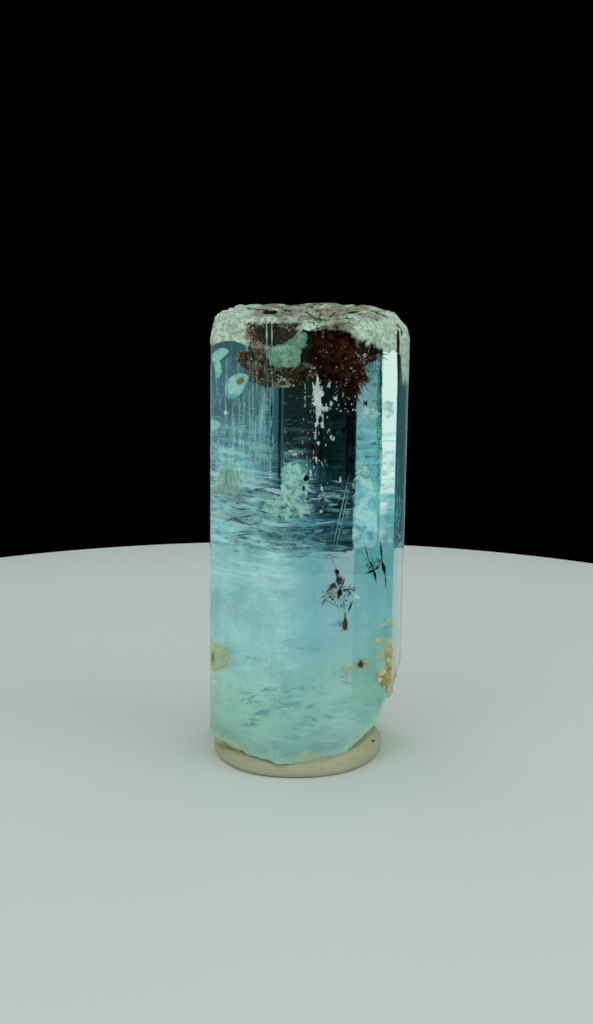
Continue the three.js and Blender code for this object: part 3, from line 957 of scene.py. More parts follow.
def milk_colour(tree, axes, streaks):
    """Pale aqua, darker behind the middle as painted shade, bluer among the streaks above and paler there on the
    left as painted light, and greener towards the foot, partly the putty's green painted in.
    """
    grade = partial(graded, tree, curve="SMOOTHSTEP")
    times = partial(combined, tree, "MULTIPLY")
    paler = times(grade(streaks, 0.3, 0.7), grade(axes["Z"], 14.0, 19.0, 0.3, 1.0))
    fresh = mixed(tree, paler, (0.41, 0.74, 0.77), (0.59, 0.87, 0.88))
    # Painted shade: the milk behind the middle of the stone is darker.
    middle = times(grade(axes["X"], -2.5, 0.5), grade(axes["X"], 2.6, 4.2, 0.6, 0.1))
    inner = mixed(tree, middle, fresh, (0.20, 0.54, 0.62))
    # Painted light: the streaks are paler on the left, where the left lamps fall, and bluer towards the middle.
    veils = mixed(tree, grade(axes["X"], -3.0, -0.5), (0.54, 1.0, 1.0), (0.16, 0.60, 0.75))
    above = mixed(tree, grade(axes["Z"], 16.5, 19.5, 0.0, 0.8), inner, veils)
    # Greener towards the foot: partly the milk's own colour, partly the putty's green painted in.
    foot = mixed(tree, grade(axes["X"], 0.5, 5.0), (0.45, 0.74, 0.60), (0.58, 0.77, 0.54))
    return mixed(tree, grade(axes["Z"], 12.0, 3.0), above, foot)


def milk_material():
    """A matt film whose alpha and colour are the milk's."""
    material, tree, output = new_material("milky_zone")
    axes = add_node(tree, "SeparateXYZ", Vector=millimetres(tree)).outputs
    clouds = speckle(tree, millimetres(tree, CLOUD_STRETCH), Detail=4.0, Roughness=0.6)
    streaks = speckle(tree, millimetres(tree, STREAK_STRETCH), Detail=6.0, Roughness=0.62, Distortion=0.7)
    coat(
        tree, output, Base_Color=milk_colour(tree, axes, streaks), Roughness=0.8,
        Alpha=milk_alpha(tree, axes, clouds, streaks),
    )
    return material


milk = milk_material()
for number, inset in enumerate(ZONE_INSETS, 1):
    grown(f"growth_zone_{number}", [zone_shell(inset)], milk)

# %% [markdown]
# ## Healed fractures across the middle
#
# Cracks that opened while the crystal grew and then healed cross the middle as wavy, nearly level sheets. They
# are seen almost edge on, so their patches draw out into long bright lines with dark rims, and the rims are
# painted shade. Each is a closed sheet with its patches in the alpha, which costs far fewer faces than a patch
# apiece.

# %% Healed fractures
# Height at the axis, slopes towards +X and +Y, and how far each sheet waves, in mm.
SHEETS = [
    (23.7, -0.05, 0.03, 0.30), (22.9, 0.03, -0.03, 0.35), (22.0, -0.02, 0.03, 0.40), (21.2, 0.04, 0.0, 0.35),
    (20.3, -0.03, -0.02, 0.40), (19.4, 0.02, 0.03, 0.35), (18.4, -0.02, 0.0, 0.30),
]
SHEET_INSET, SHEET_THICKNESS = 0.45, 0.03
SHEET_MIDDLE, SHEET_REACH = np.array([-2.5, -2.5]), np.array([3.4, 2.5])
SHEET_STRETCH = (0.5, 0.9, 0.9)
SHEET_ALPHA = 0.78
# Over this range of the noise past its start, a patch's colour runs from its dark rim, painted shade, to its
# white middle.
RIM_TO_MIDDLE = 0.2
PATCH_STOPS_WITH_SHADED_RIM = [
    (0.0, (0.002, 0.035, 0.065)), (0.17, (0.002, 0.035, 0.065)), (0.25, (0.50, 0.90, 0.97)),
    (0.7, (0.85, 1.0, 1.0)),
]


def veil_sheet(level, slope_x, slope_y, wave, seed, rings=30, per_face=20):
    """A closed thin sheet over the front left of the section: a plane waved by bumps at two sizes, and the
    same a little higher. Its rim is the prism's, drawn in towards the sheet's middle where it would pass its
    reach."""
    spokes = prism_outline(SHEET_INSET, per_face) - SHEET_MIDDLE
    room = (SHEET_REACH - SHEET_MIDDLE) / np.maximum(spokes, 1e-6)
    spokes = spokes * np.minimum(1, room.min(1))[:, None]
    x, y = np.moveaxis(SHEET_MIDDLE + np.linspace(0, 1, rings)[:, None, None] * spokes, -1, 0)
    waves = bumps(x / 2.3 + seed, y / 1.6) + 0.4 * bumps(x / 0.9, y / 0.8 + seed)
    z = level + slope_x * x + slope_y * y + wave * waves
    half = SHEET_THICKNESS / 2
    sheet = np.concatenate([np.stack([x, y, z - half], -1), np.stack([x, y, z + half], -1)[::-1]])
    return sheet.reshape(-1, 3), grid_faces(2 * rings, x.shape[1], wrap=True)


def veil_material():
    """Patches by noise: bare, then a dark rim of painted shade, then pale and paler. They thin out towards the
    right and the back."""
    material, tree, output = new_material("healed_fracture")
    noise = speckle(tree, millimetres(tree, SHEET_STRETCH), Detail=5.0, Roughness=0.62, Distortion=0.6)
    axes = add_node(tree, "SeparateXYZ", Vector=millimetres(tree)).outputs
    past = combined(tree, "SUBTRACT", noise, graded(tree, axes["X"], -3.5, 0.0, 0.40, 0.54))
    from_right = graded(tree, axes["X"], 3.4, 1.0, 0.0, SHEET_ALPHA, curve="SMOOTHSTEP")
    from_back = graded(tree, axes["Y"], 2.5, -2.0, curve="SMOOTHSTEP")
    most = combined(tree, "MULTIPLY", from_right, from_back)
    colour = stepped(tree, graded(tree, past, 0.0, RIM_TO_MIDDLE), PATCH_STOPS_WITH_SHADED_RIM)
    alpha = graded(tree, past, 0.0, 0.012, 0.0, most)
    coat(tree, output, Base_Color=colour, Roughness=0.6, Alpha=alpha, Specular_IOR_Level=0.2)
    return material


sheets = [veil_sheet(*sheet, seed=3.7 * number) for number, sheet in enumerate(SHEETS)]
grown("healed_fractures", sheets, veil_material())

# %% [markdown]
# ## The rust in the top
#
# Iron oxide fills a pit under the top: a dark red-brown mass with a spiky lower edge, and a paler brown shelf
# that runs left from it. A few lumpy lenses give the mass. Below them, thousands of needles and plates give its
# edge, and their palest tones paint its glitter.

# %% Rust mass and brown shelf
# Each is an outline in pixels of the photograph, with its depth and thickness in mm.
RUST_OUTLINES = [
    ([(311, 341), (318, 328), (331, 325), (350, 331), (367, 341), (379, 350), (376, 358), (366, 362),
      (348, 366), (330, 368), (314, 362)], 1.5, 2.0),
    ([(322, 352), (345, 350), (366, 354), (364, 371), (366, 380), (360, 386), (357, 396), (351, 398),
      (344, 392), (333, 381), (325, 374)], 1.6, 1.6),
    ([(310, 352), (325, 352), (338, 366), (336, 380), (322, 374), (313, 369)], 1.4, 1.2),
]
SHELF_OUTLINES = [
    ([(241, 358), (252, 361), (265, 366), (285, 369), (304, 364), (316, 369), (310, 378), (296, 384),
      (280, 386), (262, 385), (249, 378)], 1.1, 1.0),
    ([(251, 340), (260, 343), (268, 354), (272, 368), (262, 371), (251, 364), (247, 352)], 1.4, 0.5),
]
# Loose pinkish grains: a slanting band down the left, and a point that runs out to the left of the shelf.
BAND_OUTLINES = [
    ([(246, 330), (252, 332), (259, 344), (264, 356), (258, 360), (252, 348)], 0.6, 0.3),
    ([(236, 358), (243, 359), (254, 364), (262, 372), (254, 377), (245, 369)], 0.6, 0.3),
    ([(238, 352), (246, 354), (252, 360), (246, 364)], 0.5, 0.3),
]
# Two dark hollows under the rim, and the gap between them, painted nearly black as their shade.
HOLLOW_OUTLINES = [
    ([(254, 327), (264, 326), (265, 334), (264, 342), (259, 342), (255, 335)], 0.3, 0.2),
    ([(273, 331), (284, 329), (296, 331), (294, 337), (286, 341), (276, 344), (273, 338)], 0.3, 0.2),
    ([(261, 326), (268, 325), (276, 326), (276, 344), (268, 346), (261, 344)], 0.4, 0.2),
]


def lumpy(outlines, **settings):
    """Finer lenses for the same kind of list, all with one seed, so that lumps run on between them."""
    return [lens(knots, depth, thick, rings=15, around=110, **settings) for knots, depth, thick in outlines]


rust_mass = grown("rust_mass", lumpy(RUST_OUTLINES, ragged=0.16, lumps=0.5, size=4.0), rust, "iron_oxide")
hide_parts("iron_oxide_crust")
# The solid that the mass stands for wears the same finish.
crust_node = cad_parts["iron_oxide_crust"]
crust_node.data.materials.clear()
crust_node.data.materials.append(rust)
grown("brown_shelf", lumpy(SHELF_OUTLINES, ragged=0.25, lumps=0.7, size=2.5, seed=4.0), mud, "iron_oxide")

# %% [markdown]
# ## Loose grains
#
# Rust crystals and grit are too small to model one by one, but each still catches light its own way.
# Needles are thrown outward from the rim of an outline and plates over its front. Every one is a spindle
# with its own tone.

# %% Needles and plates at random
# How many places on the rim of an outline can be drawn.
RIM_PLACES = 400


def inside_outline(outline_pixels, count, reach=1.0):
    """Random pixels inside a closed outline, as even over it as a root of the radius makes them."""
    loop = smooth_loop(outline_pixels, RIM_PLACES)
    centre = loop.mean(0)
    picked = loop[chance.integers(0, RIM_PLACES, count)] - centre
    return centre + picked * np.sqrt(chance.uniform(0, reach, (count, 1)))


def rim_needles(outlines, count, length, width, outward):
    """Needles that start near the rim of each outline and point outward, with a random turn."""
    starts, ends = [], []
    for knots, depth, _ in outlines:
        loop = smooth_loop(knots, RIM_PLACES)
        centre = loop.mean(0)
        pick = loop[chance.integers(0, RIM_PLACES, count)]
        base = centre + (pick - centre) * chance.uniform(0.55, 1.0, (count, 1))
        turn = unit(pick - centre) + outward + chance.normal(0, 0.5, (count, 2))
        tip = base + unit(turn) * chance.uniform(0.2, 1.0, (count, 1)) ** 2 * length
        depths = depth + chance.normal(0, 0.4, count)
        starts.append(behind_pixel(base, depths))
        ends.append(behind_pixel(tip, depths + chance.normal(0, 0.3, count)))
    widths = chance.uniform(0.3, 1.0, len(outlines) * count) * width
    return needles(np.concatenate(starts), np.concatenate(ends), widths)


def scattered_plates(outlines, count, size):
    """Small plates over the front of each outline, each turned its own way."""
    parts = []
    for knots, depth, thick in outlines:
        spot = inside_outline(knots, count, 1.15)
        depths = depth - 0.5 * thick + np.abs(chance.normal(0, 0.3, count))
        place = behind_pixel(spot, np.maximum(depths, 0.15))
        long, guide = unit(chance.normal(size=(count, 3))), unit(chance.normal(size=(count, 3)))
        wide = unit(np.cross(long, guide))
        scale = size * chance.uniform(0.3, 1.0, (count, 1))
        parts.append(spindles(place, long * scale, wide * scale * 0.6, np.cross(long, wide) * scale * 0.15))
    return together(parts)


def toned(name, parts, material, tilt=1.4, fade=1.0, left=1.0, clumping=0.7):
    """Loose grains as one piece, with a random tone for each six-cornered grain: a power of an even draw,
    times bumps that clump light and dark grains, and times fade in the lower part and left on the left."""
    grains = sum(len(points) for points, _ in parts) // 6
    x, y, z = np.concatenate([points for points, _ in parts])[::6].T
    clump = 1 + clumping * bumps(x / 0.8, y / 0.8, z / 0.8) + 0.3 * bumps(x / 0.35, y / 0.35, z / 0.35)
    clump = clump * (fade + (1 - fade) * ease(z, 30.0, 34.0)) * (left + (1 - left) * ease(x, 0.8, 3.4))
    tones = np.repeat(np.clip(chance.uniform(0, 1, grains) ** tilt * clump, 0, 1), 6)
    return grown(name, parts, material, "iron_oxide", smooth=False, values={"tone": tones})


# %% Grains of the rust, the shelf and the band
# Long single needles at the rim of the rust: start pixel, end pixel and width in pixels.
RUST_WHISKERS = [
    (379, 355, 390, 361, 0.9), (377, 359, 386, 366, 0.7), (372, 362, 383, 371, 0.6),
    (380, 350, 387, 352, 0.6), (366, 374, 374, 380, 0.8), (363, 384, 370, 393, 0.7),
    (356, 396, 360, 405, 0.7), (347, 394, 345, 404, 0.7), (338, 384, 333, 397, 0.8),
    (330, 378, 325, 389, 0.7), (321, 374, 317, 384, 0.8), (311, 366, 304, 374, 0.8),
]
# Granular matter that frames the two dark hollows under the rim.
FRAME_OUTLINES = [
    ([(246, 325), (256, 326), (256, 338), (266, 346), (262, 352), (252, 345)], 0.8, 0.4),
    ([(256, 324), (300, 324), (304, 329), (290, 330), (272, 329), (258, 329)], 0.8, 0.3),
    ([(262, 343), (276, 341), (287, 338), (300, 334), (296, 343), (280, 348), (266, 350)], 0.9, 0.4),
    ([(310, 322), (330, 320), (352, 324), (360, 331), (344, 331), (326, 328), (314, 330)], 0.5, 0.4),
]
rust_bits = [
    rim_needles(RUST_OUTLINES, 620, 11.0, 0.10, np.array([0.1, 0.5])),
    scattered_plates(RUST_OUTLINES, 1900, 0.16),
    needles_behind(RUST_WHISKERS, 0.9),
]
shelf_bits = [
    rim_needles(SHELF_OUTLINES, 150, 3.5, 0.10, np.array([0.0, 0.3])),
    scattered_plates(SHELF_OUTLINES, 1700, 0.2),
    scattered_plates(HOLLOW_OUTLINES, 60, 0.10),
]
toned("rust_needles", rust_bits, rust_grains_and_glints, tilt=1.25, fade=0.72, left=0.6, clumping=1.1)
toned("shelf_grains", shelf_bits, shelf_grains, tilt=0.75)
toned("frame_grains", [scattered_plates(FRAME_OUTLINES, 620, 0.17)], shelf_grains, tilt=0.6)
toned("band_grains", [scattered_plates(BAND_OUTLINES, 800, 0.19)], band_grains)
grown("dark_hollows", lumpy(HOLLOW_OUTLINES, ragged=0.2, lumps=0.4, size=3.0), hollow_shade_paint, "iron_oxide")

# %% [markdown]
# ## Pale films, the drop and its neighbours
#
# Just behind the left face lie a drop with an olive middle, a bent hook, a small wedge and a fan, and under
# the rim a cluster of pale green lumps. They are thin and milky, so each is a lens a fraction of a
# millimetre thick. The fan is a sheaf of pale veins that spread from one point, with a ragged film behind
# them.

# %% Drop, hook, wedge and green lumps
# Outlines in pixels, with depth and thickness in mm.
PALE_SHAPES = {
    "drop": ([(225, 391), (226, 383), (232, 376), (240, 373), (249, 376), (246, 385), (240, 395),
      (233, 399), (227, 397)], 0.5, 0.5),
    "hook": ([(212, 356), (218, 349), (225, 348), (229, 352), (222, 354), (219, 359), (222, 369),
      (220, 377), (216, 377), (214, 366)], 0.4, 0.3),
    "wedge": ([(211.5, 417), (216, 420), (220.5, 424), (217, 429), (211.5, 431)], 0.3, 0.3),
}
GREEN_LUMPS = [
    ([(267, 353), (273, 347), (278, 344), (290, 341), (297, 335), (302, 331), (307, 337), (306, 345),
      (302, 350), (301, 362), (295, 367), (283, 368), (273, 366), (268, 361)], 0.8, 0.8),
    ([(269, 352), (276, 348), (282, 349), (284, 357), (279, 364), (271, 361)], 0.5, 0.6),
    ([(283, 347), (292, 343), (298, 345), (297, 353), (289, 356), (284, 353)], 0.5, 0.5),
    ([(296, 339), (301, 333), (306, 338), (304, 346), (298, 347)], 0.5, 0.5),
    ([(284, 358), (292, 356), (300, 359), (296, 366), (286, 367)], 0.45, 0.5),
]
DROP_MIDDLE = [(236.5, 381), (239, 378), (243, 377.5), (244, 381), (241, 384), (237.5, 384)]
grown("pale_films", lenses(PALE_SHAPES.values(), lumps=0.15, size=5.0), pale_film)
green_parts = lenses(GREEN_LUMPS, rings=14, around=110, ragged=0.12, lumps=0.7, size=2.5)
grown("green_lumps", green_parts, green_lump)
grown("olive_middle", [lens(DROP_MIDDLE, 0.22, 0.2)], olive_stain)

# %% The fan
FAN_TIP, FAN_BASE = (229, 460), [(213, 490), (218, 494), (226, 495), (235, 494), (244, 489)]
FAN = [
    (222, 467), (229, 462), (236, 466), (243, 477), (247, 488), (238, 494), (226, 497), (214, 491),
    (212, 481), (216, 473),
]
FAN_VEINS = 90
share = chance.uniform(0, 1, FAN_VEINS)
ends = np.stack([np.interp(share * 4, range(5), column) for column in np.array(FAN_BASE).T], 1)
starts = np.array(FAN_TIP) + (ends - FAN_TIP) * chance.uniform(0.05, 0.7, (FAN_VEINS, 1))
starts = starts + chance.normal(0, 2.0, (FAN_VEINS, 2))
ends = ends + chance.normal(0, 1.5, (FAN_VEINS, 2))
depths = chance.uniform(0.25, 0.6, FAN_VEINS)
fan = needles(behind_pixel(starts, depths), behind_pixel(ends, depths), chance.uniform(0.06, 0.26, FAN_VEINS))
grown("pale_fan", [fan], pale_vein, smooth=False)
grown("fan_film", [lens(FAN, 0.8, 0.15, ragged=0.35, lumps=0.3, size=2.5)], pale_vein)

# %% [markdown]
# ## Fog and threads
#
# Patches of green fog hang in the dark middle and beside the sprays, and a paler fog fills the right band.
# Two pale pillars cross the dark hollows, and thin threads slant through the stone. Fog is a lens with a
# misty finish, and a thread is a long needle.

# %% Fog patches and threads
FOG_PATCHES = [
    ([(284, 464), (296, 466), (306, 476), (309, 490), (304, 503), (292, 505), (284, 498)], 0.5, 0.2),
    ([(262, 500), (280, 496), (300, 503), (310, 512), (292, 520), (270, 516)], 0.6, 0.2),
    ([(361, 413), (366, 408), (375, 409), (379, 414), (371, 420), (363, 418)], 0.4, 0.2),
    ([(382, 404), (388, 401), (394, 404), (393, 416), (385, 417)], 0.3, 0.2),
    ([(357, 462), (362, 456), (367, 464), (368, 476), (358, 478)], 0.5, 0.2),
    ([(325, 594), (333, 591), (341, 596), (338, 603), (328, 603)], 0.3, 0.2),
    ([(351, 592), (358, 590), (361, 597), (355, 602), (351, 598)], 0.3, 0.2),
]
BAND_FOG = [
    ([(353, 480), (365, 479), (377, 480), (377, 512), (376, 545), (364, 547), (353, 545),
      (353, 512)], 0.4, 0.1),
]
# Slim upright and slanting threads: from one pixel to another, and the width in pixels.
THREADS = np.array([
    (266.2, 320, 266.4, 350, 2.4), (271.4, 320, 271.6, 350, 1.8), (350, 471, 331, 555, 0.9),
    (352, 474, 338, 540, 0.5), (347, 500, 334, 556, 0.6), (267, 441, 273, 462, 1.0),
    (272.6, 375, 272.6, 392, 0.7), (257, 676, 261, 668, 0.9), (261, 668, 272, 665, 0.9),
    (272, 665, 278, 674, 0.9), (280, 709, 290, 709, 2.0), (320, 741, 342, 741, 1.2),
    (405.3, 388, 404.4, 470, 0.7), (404.4, 470, 402.4, 545, 0.7),
])
grown("band_fog", lenses(BAND_FOG), band_fog)
grown("fog_patches", lenses(FOG_PATCHES, ragged=0.25, lumps=0.3, size=3.0), green_fog)
grown("pale_threads", [needles_behind(THREADS, 0.12)], pale_vein, smooth=False)

# %% [markdown]
# ## White flakes and sparks
#
# Flat cracks inside the stone flash white where they face the light, and rust grains glint; here those flashes
# and glints are painted highlights, white whichever way a flake faces. The large ones, and the broken white
# column under the rust, are listed from the photograph and broken up at random. The small ones are scattered
# over the places where the photograph shows them.

# %% Ways to scatter flakes
def flake_field(spots, depth, thickness):
    """A spindle for each spot, as wide and tall as it shows, and thin along the line of sight."""
    spots = np.asarray(spots, dtype=float)
    across, down, half_width, half_height = spots.T
    depths = np.full(len(spots), depth)
    place = behind_pixel(spots[:, :2], depths)
    wide = behind_pixel(np.stack([across + half_width, down], 1), depths) - place
    tall = behind_pixel(np.stack([across, down + half_height], 1), depths) - place
    slant = np.linalg.norm(wide, axis=1, keepdims=True) * chance.normal(0, 0.16, (len(spots), 1))
    wide = wide + unit(tall) * slant
    return spindles(place, tall, wide, unit(np.cross(wide, tall)) * thickness)


def broken_up(spots, count):
    """Each spot as count smaller ones, scattered inside it by a bell curve."""
    spots = np.repeat(np.asarray(spots, dtype=float), count, axis=0)
    moved = spots.copy()
    moved[:, :2] += chance.normal(0, 0.5, (len(spots), 2)) * spots[:, 2:]
    moved[:, 2:] = np.minimum(spots[:, 2:], chance.uniform(0.25, 1.3, (len(spots), 2)))
    return moved


def random_flakes(count, columns, lines, sizes):
    """Spots scattered over a box of the photograph, as tall and wide as the given sizes allow."""
    return np.stack([
        chance.uniform(*columns, count), chance.uniform(*lines, count),
        chance.uniform(*sizes[0], count), chance.uniform(*sizes[1], count),
    ], 1)


# %% White flakes and the white column
# Bright spots of the photograph, as (across, down, half width, half height) in its pixels: flashes of flakes and
# glints on the rust, painted as white flakes.
GLINT_AND_FLAKE_SPOTS = [
    (317, 392, 3.2, 8.0), (319, 408, 2.2, 7.0), (323, 336, 1.0, 3.5), (339.6, 350, 2.0, 3.0),
    (350, 368.6, 1.4, 2.4), (329, 384, 1.4, 3.2), (335.6, 398, 1.5, 3.0), (366, 354, 0.9, 2.0),
    (325, 410, 3.0, 1.6), (331, 404, 2.0, 2.0), (317, 423, 1.2, 3.0), (323, 418, 0.8, 3.5),
    (315.5, 434, 1.4, 4.0), (318.5, 443, 1.6, 1.0), (316, 461, 1.3, 4.5), (310.7, 473, 1.0, 4.0),
    (321.5, 488, 0.8, 4.5), (320, 497.5, 1.8, 2.2), (331, 437, 0.7, 1.8), (333.5, 439, 0.8, 1.8),
    (340.4, 480, 0.8, 2.8), (290.5, 451, 3.6, 0.8), (295, 455, 2.6, 1.6), (316, 425, 1.0, 2.4),
    (346.5, 372.5, 0.9, 1.2), (226, 413, 2.2, 2.0), (305, 396, 0.5, 16.0), (299, 513.5, 1.6, 1.6),
    (321, 512, 1.0, 1.6), (373, 412, 1.1, 3.6), (308, 507, 0.6, 3.0),
]
# The white column's own spots.
COLUMN_SPOTS = [
    (318, 388, 3.0, 5.0), (317, 397, 3.6, 5.0), (319, 405, 3.0, 5.0), (318, 412, 2.2, 4.0),
    (325, 408, 3.0, 2.0), (322, 425, 1.2, 3.0),
]
COLUMN = [
    (314, 386), (317, 382), (321.5, 384), (323, 392), (321, 400), (321.5, 408), (319, 415), (315.5, 413),
    (314.5, 404), (313.5, 395),
]
# Level flakes among the streaks, as (count, columns, lines, (half widths, half heights)), in pixels.
VEIL_FLAKES = [
    (60, (216, 300), (468, 548), ((1.0, 8.0), (0.12, 0.4))),
    (26, (283, 350), (485, 556), ((1.0, 7.0), (0.12, 0.3))),
    (16, (352, 394), (470, 550), ((1.0, 5.0), (0.12, 0.3))),
]
veil_spots = np.concatenate([random_flakes(*field) for field in VEIL_FLAKES])
dark_spots = random_flakes(26, (222, 342), (500, 552), ((3.0, 12.0), (0.3, 0.8)))
flakes = [
    flake_field(veil_spots, 0.25, 0.03),
    flake_field(broken_up(GLINT_AND_FLAKE_SPOTS, 16), 0.9, 0.05),
    flake_field(random_flakes(60, (312, 362), (345, 412), ((0.3, 0.9), (0.4, 1.5))), 0.6, 0.04),
    flake_field(random_flakes(55, (302, 330), (405, 510), ((0.25, 0.6), (0.5, 2.2))), 1.4, 0.04),
    flake_field(broken_up(COLUMN_SPOTS, 60), 0.5, 0.05),
    flake_field(random_flakes(46, (213, 273), (392, 478), ((1.0, 5.0), (0.10, 0.30))), 0.2, 0.02),
    flake_field(random_flakes(26, (245, 276), (430, 478), ((0.8, 3.0), (0.10, 0.28))), 0.2, 0.02),
    flake_field(random_flakes(14, (232, 276), (385, 480), ((0.10, 0.25), (3.0, 8.0))), 0.2, 0.02),
]
grown("white_flakes", flakes, white_flake_and_glint, smooth=False)
column_lens = lens(COLUMN, 0.6, 0.25, around=120, ragged=0.5, lumps=0.6, size=2.0)
grown("white_column", [column_lens], white_flake_and_glint)

# %% [markdown]
# ## Dark lines and faint marks
#
# The left face is crossed by fine upright and level marks, some dark and some pale, and broad blue shades
# lie in the lower left. All are the same thin flakes in other finishes, hung a little behind the face.

# %% Dark lines, faint marks and blue shades
thin_lines = np.concatenate([
    random_flakes(90, (214, 276), (348, 470), ((0.10, 0.25), (2.0, 10.0))),
    random_flakes(50, (218, 272), (380, 480), ((1.0, 5.0), (0.12, 0.3))),
])
grown("dark_lines", [flake_field(thin_lines, 0.45, 0.02)], dark_veil, smooth=False)
# Level dashes and upright lines on the left, dashes in the middle, and hatching on the narrow right side.
faint = [
    flake_field(random_flakes(90, (216, 274), (350, 480), ((0.6, 4.0), (0.10, 0.30))), 0.3, 0.02),
    flake_field(random_flakes(150, (214, 274), (348, 478), ((0.08, 0.22), (2.0, 9.0))), 0.4, 0.02),
    flake_field(random_flakes(30, (284, 312), (395, 470), ((0.8, 4.0), (0.10, 0.25))), 0.4, 0.02),
    flake_field(random_flakes(24, (397.5, 402), (498, 545), ((0.3, 0.8), (1.0, 3.0))), 0.1, 0.02),
]
grown("faint_marks", faint, pale_vein, smooth=False)
grown("dark_veils", [flake_field(dark_spots, 0.2, 0.02)], dark_veil, smooth=False)
SHADE_SPOTS = [
    (285, 717, 7, 6), (310, 649, 20, 2.2), (300, 688, 10, 1.8), (300, 705, 14, 4), (262, 712, 12, 3),
    (338, 623, 10, 3),
]
shade_spots = np.concatenate([
    SHADE_SPOTS,
    random_flakes(40, (245, 330), (688, 728), ((3.0, 12.0), (0.5, 2.0))),
    random_flakes(22, (232, 375), (640, 735), ((3.0, 12.0), (0.4, 1.2))),
])
grown("blue_shades", [flake_field(shade_spots, 0.22, 0.02)], blue_shade, smooth=False)

# %% [markdown]
# ## Needle sprays
#
# Two small sprays of dark needles hang behind the right front face, with a red bulb under the left one and
# a rusty grain below. Each needle is a spindle between two places of the photograph, and fine twigs crowd
# round the middles at random.

# %% Sprays, bulb and grains
# The needles: start pixel, end pixel, and how heavy each looks. A spindle's ends are sharp, so heavy ones are
# made wider than they look, by this power and factor.
HEAVY_POWER, HEAVY_FACTOR = 1.3, 1.7
SPRAY_NEEDLES = [
    (380, 539, 382.5, 564, 1.6), (382, 560, 385.5, 576, 2.6), (385, 572, 386, 590, 1.2),
    (364, 541, 369.5, 564, 0.9), (368, 560, 374.5, 568, 1.2), (373, 566, 376.5, 584, 2.0),
    (366, 573.5, 376, 569.5, 1.6), (374, 570, 380, 566, 1.6), (361, 553, 370, 562, 0.5),
    (371, 552, 374, 566, 0.6), (329, 552, 336, 570, 0.5), (337, 574, 339, 584, 2.2),
    (341, 586, 338, 600, 2.8), (341, 591, 350, 589, 1.6), (346, 588, 352, 596, 1.3),
    (327, 590, 334, 588, 1.4), (325, 594, 331, 587, 1.2), (345, 578, 341, 588, 1.2),
    (334, 583, 332, 590, 1.4), (322, 606, 326, 598, 0.9), (353, 600, 347.5, 613, 1.4),
    (348, 588, 357, 592, 1.0), (343, 600, 345, 612, 0.7), (345, 611, 345.2, 620, 1.2),
    (331, 600, 334, 599, 1.4), (341, 603, 342, 609, 1.0), (349, 592, 348, 598, 1.0),
    (352, 586, 356, 590, 0.9),
]
SPRAY_BLOBS = [
    ([(334.5, 572), (337, 569.5), (339.5, 571.5), (338, 575)], 0.14, 0.2),
    ([(336, 580), (339, 577), (343, 579), (341, 584), (337, 583)], 0.14, 0.2),
    ([(343, 620), (345.3, 617), (347.5, 621), (347, 628), (345, 630), (343.3, 627)], 0.14, 0.2),
    ([(330, 585), (334, 583), (336, 587), (331, 588)], 0.14, 0.2),
    ([(304.5, 476), (307, 474.5), (309.5, 478), (307, 481), (304, 480)], 0.14, 0.2),
    ([(302.3, 487), (304.5, 486), (305, 490), (303, 491)], 0.14, 0.2),
    ([(358, 664), (361, 661), (363.5, 664), (362, 667), (359.5, 668)], 0.15, 0.2),
    ([(311, 446), (314, 444), (315, 449), (311.5, 450)], 0.14, 0.2),
]
# Where fine twigs crowd round the sprays: the pixel at the middle and the spread.
TWIG_PLACES = np.array([
    (337, 575, 4), (338, 584, 6), (333, 590, 7), (345, 592, 7), (341, 602, 5), (330, 598, 6), (344, 626, 2),
    (371, 566, 4), (380, 562, 3),
])
TWIGS = 240
NEEDLE_DEPTH = 0.12
spray = np.array(SPRAY_NEEDLES, dtype=float)
spray[:, 4] = spray[:, 4] ** HEAVY_POWER * HEAVY_FACTOR
twigs = TWIG_PLACES[chance.integers(0, len(TWIG_PLACES), TWIGS)]
twig_starts = twigs[:, :2] + chance.normal(0, 0.6, (TWIGS, 2)) * twigs[:, 2:]
twig_ends = twig_starts + chance.normal(0, 2.6, (TWIGS, 2))
depths = chance.uniform(0.08, 0.16, TWIGS)
twig_needles = needles(
    behind_pixel(twig_starts, depths), behind_pixel(twig_ends, depths), chance.uniform(0.04, 0.09, TWIGS))
grown("needle_sprays", [needles_behind(spray, NEEDLE_DEPTH), twig_needles], black, "iron_oxide", smooth=False)
grown("dark_grains", lenses(SPRAY_BLOBS, rings=6, around=24, ragged=0.2), black, "iron_oxide")

# %% [markdown]
# ## Stains near the surface
#
# Iron has stained the stone ochre and olive along its right edge, at its left edge and over the foot.
# Crusts are lumpy lenses with loose grains over them, and films are thin lenses that let the stone show
# through.

# %% Stains
# Ochre crusts on and under the surface: outline, depth and thickness.
STAINS = [
    ([(376, 677), (381, 670), (388, 669), (394, 672), (395, 680), (391, 687), (382, 686),
      (377, 683)], 0.3, 0.5),
    ([(386, 654), (390, 651), (394, 655), (395, 668), (390, 670), (387, 664)], 0.25, 0.3),
    ([(387, 685), (394, 684), (395, 692), (389, 698), (386, 692)], 0.3, 0.3),
    ([(357, 663), (360, 659), (365, 661), (365, 667), (361, 670), (358, 668)], 0.3, 0.3),
]
# Smooth olive films, and the darker edge of the left one.
SMOOTH_STAINS = [
    ([(211, 645), (216, 643), (226, 648), (229, 658), (224, 668), (214, 671), (211, 666)], 0.25, 0.3),
    ([(215, 735), (222, 735), (236, 742), (250, 748), (240, 752), (226, 746), (215, 741)], 0.2, 0.2),
    ([(294, 758), (299, 753), (312, 752), (327, 756), (329, 763), (312, 765), (298, 764)], 0.3, 0.2),
    ([(384, 650), (392, 646), (396, 660), (395, 690), (388, 688), (383, 668)], 0.4, 0.2),
]
BROWN_SPOTS = [([(211, 655), (213, 653), (214.5, 657), (213, 663), (211, 663)], 0.15, 0.1)]
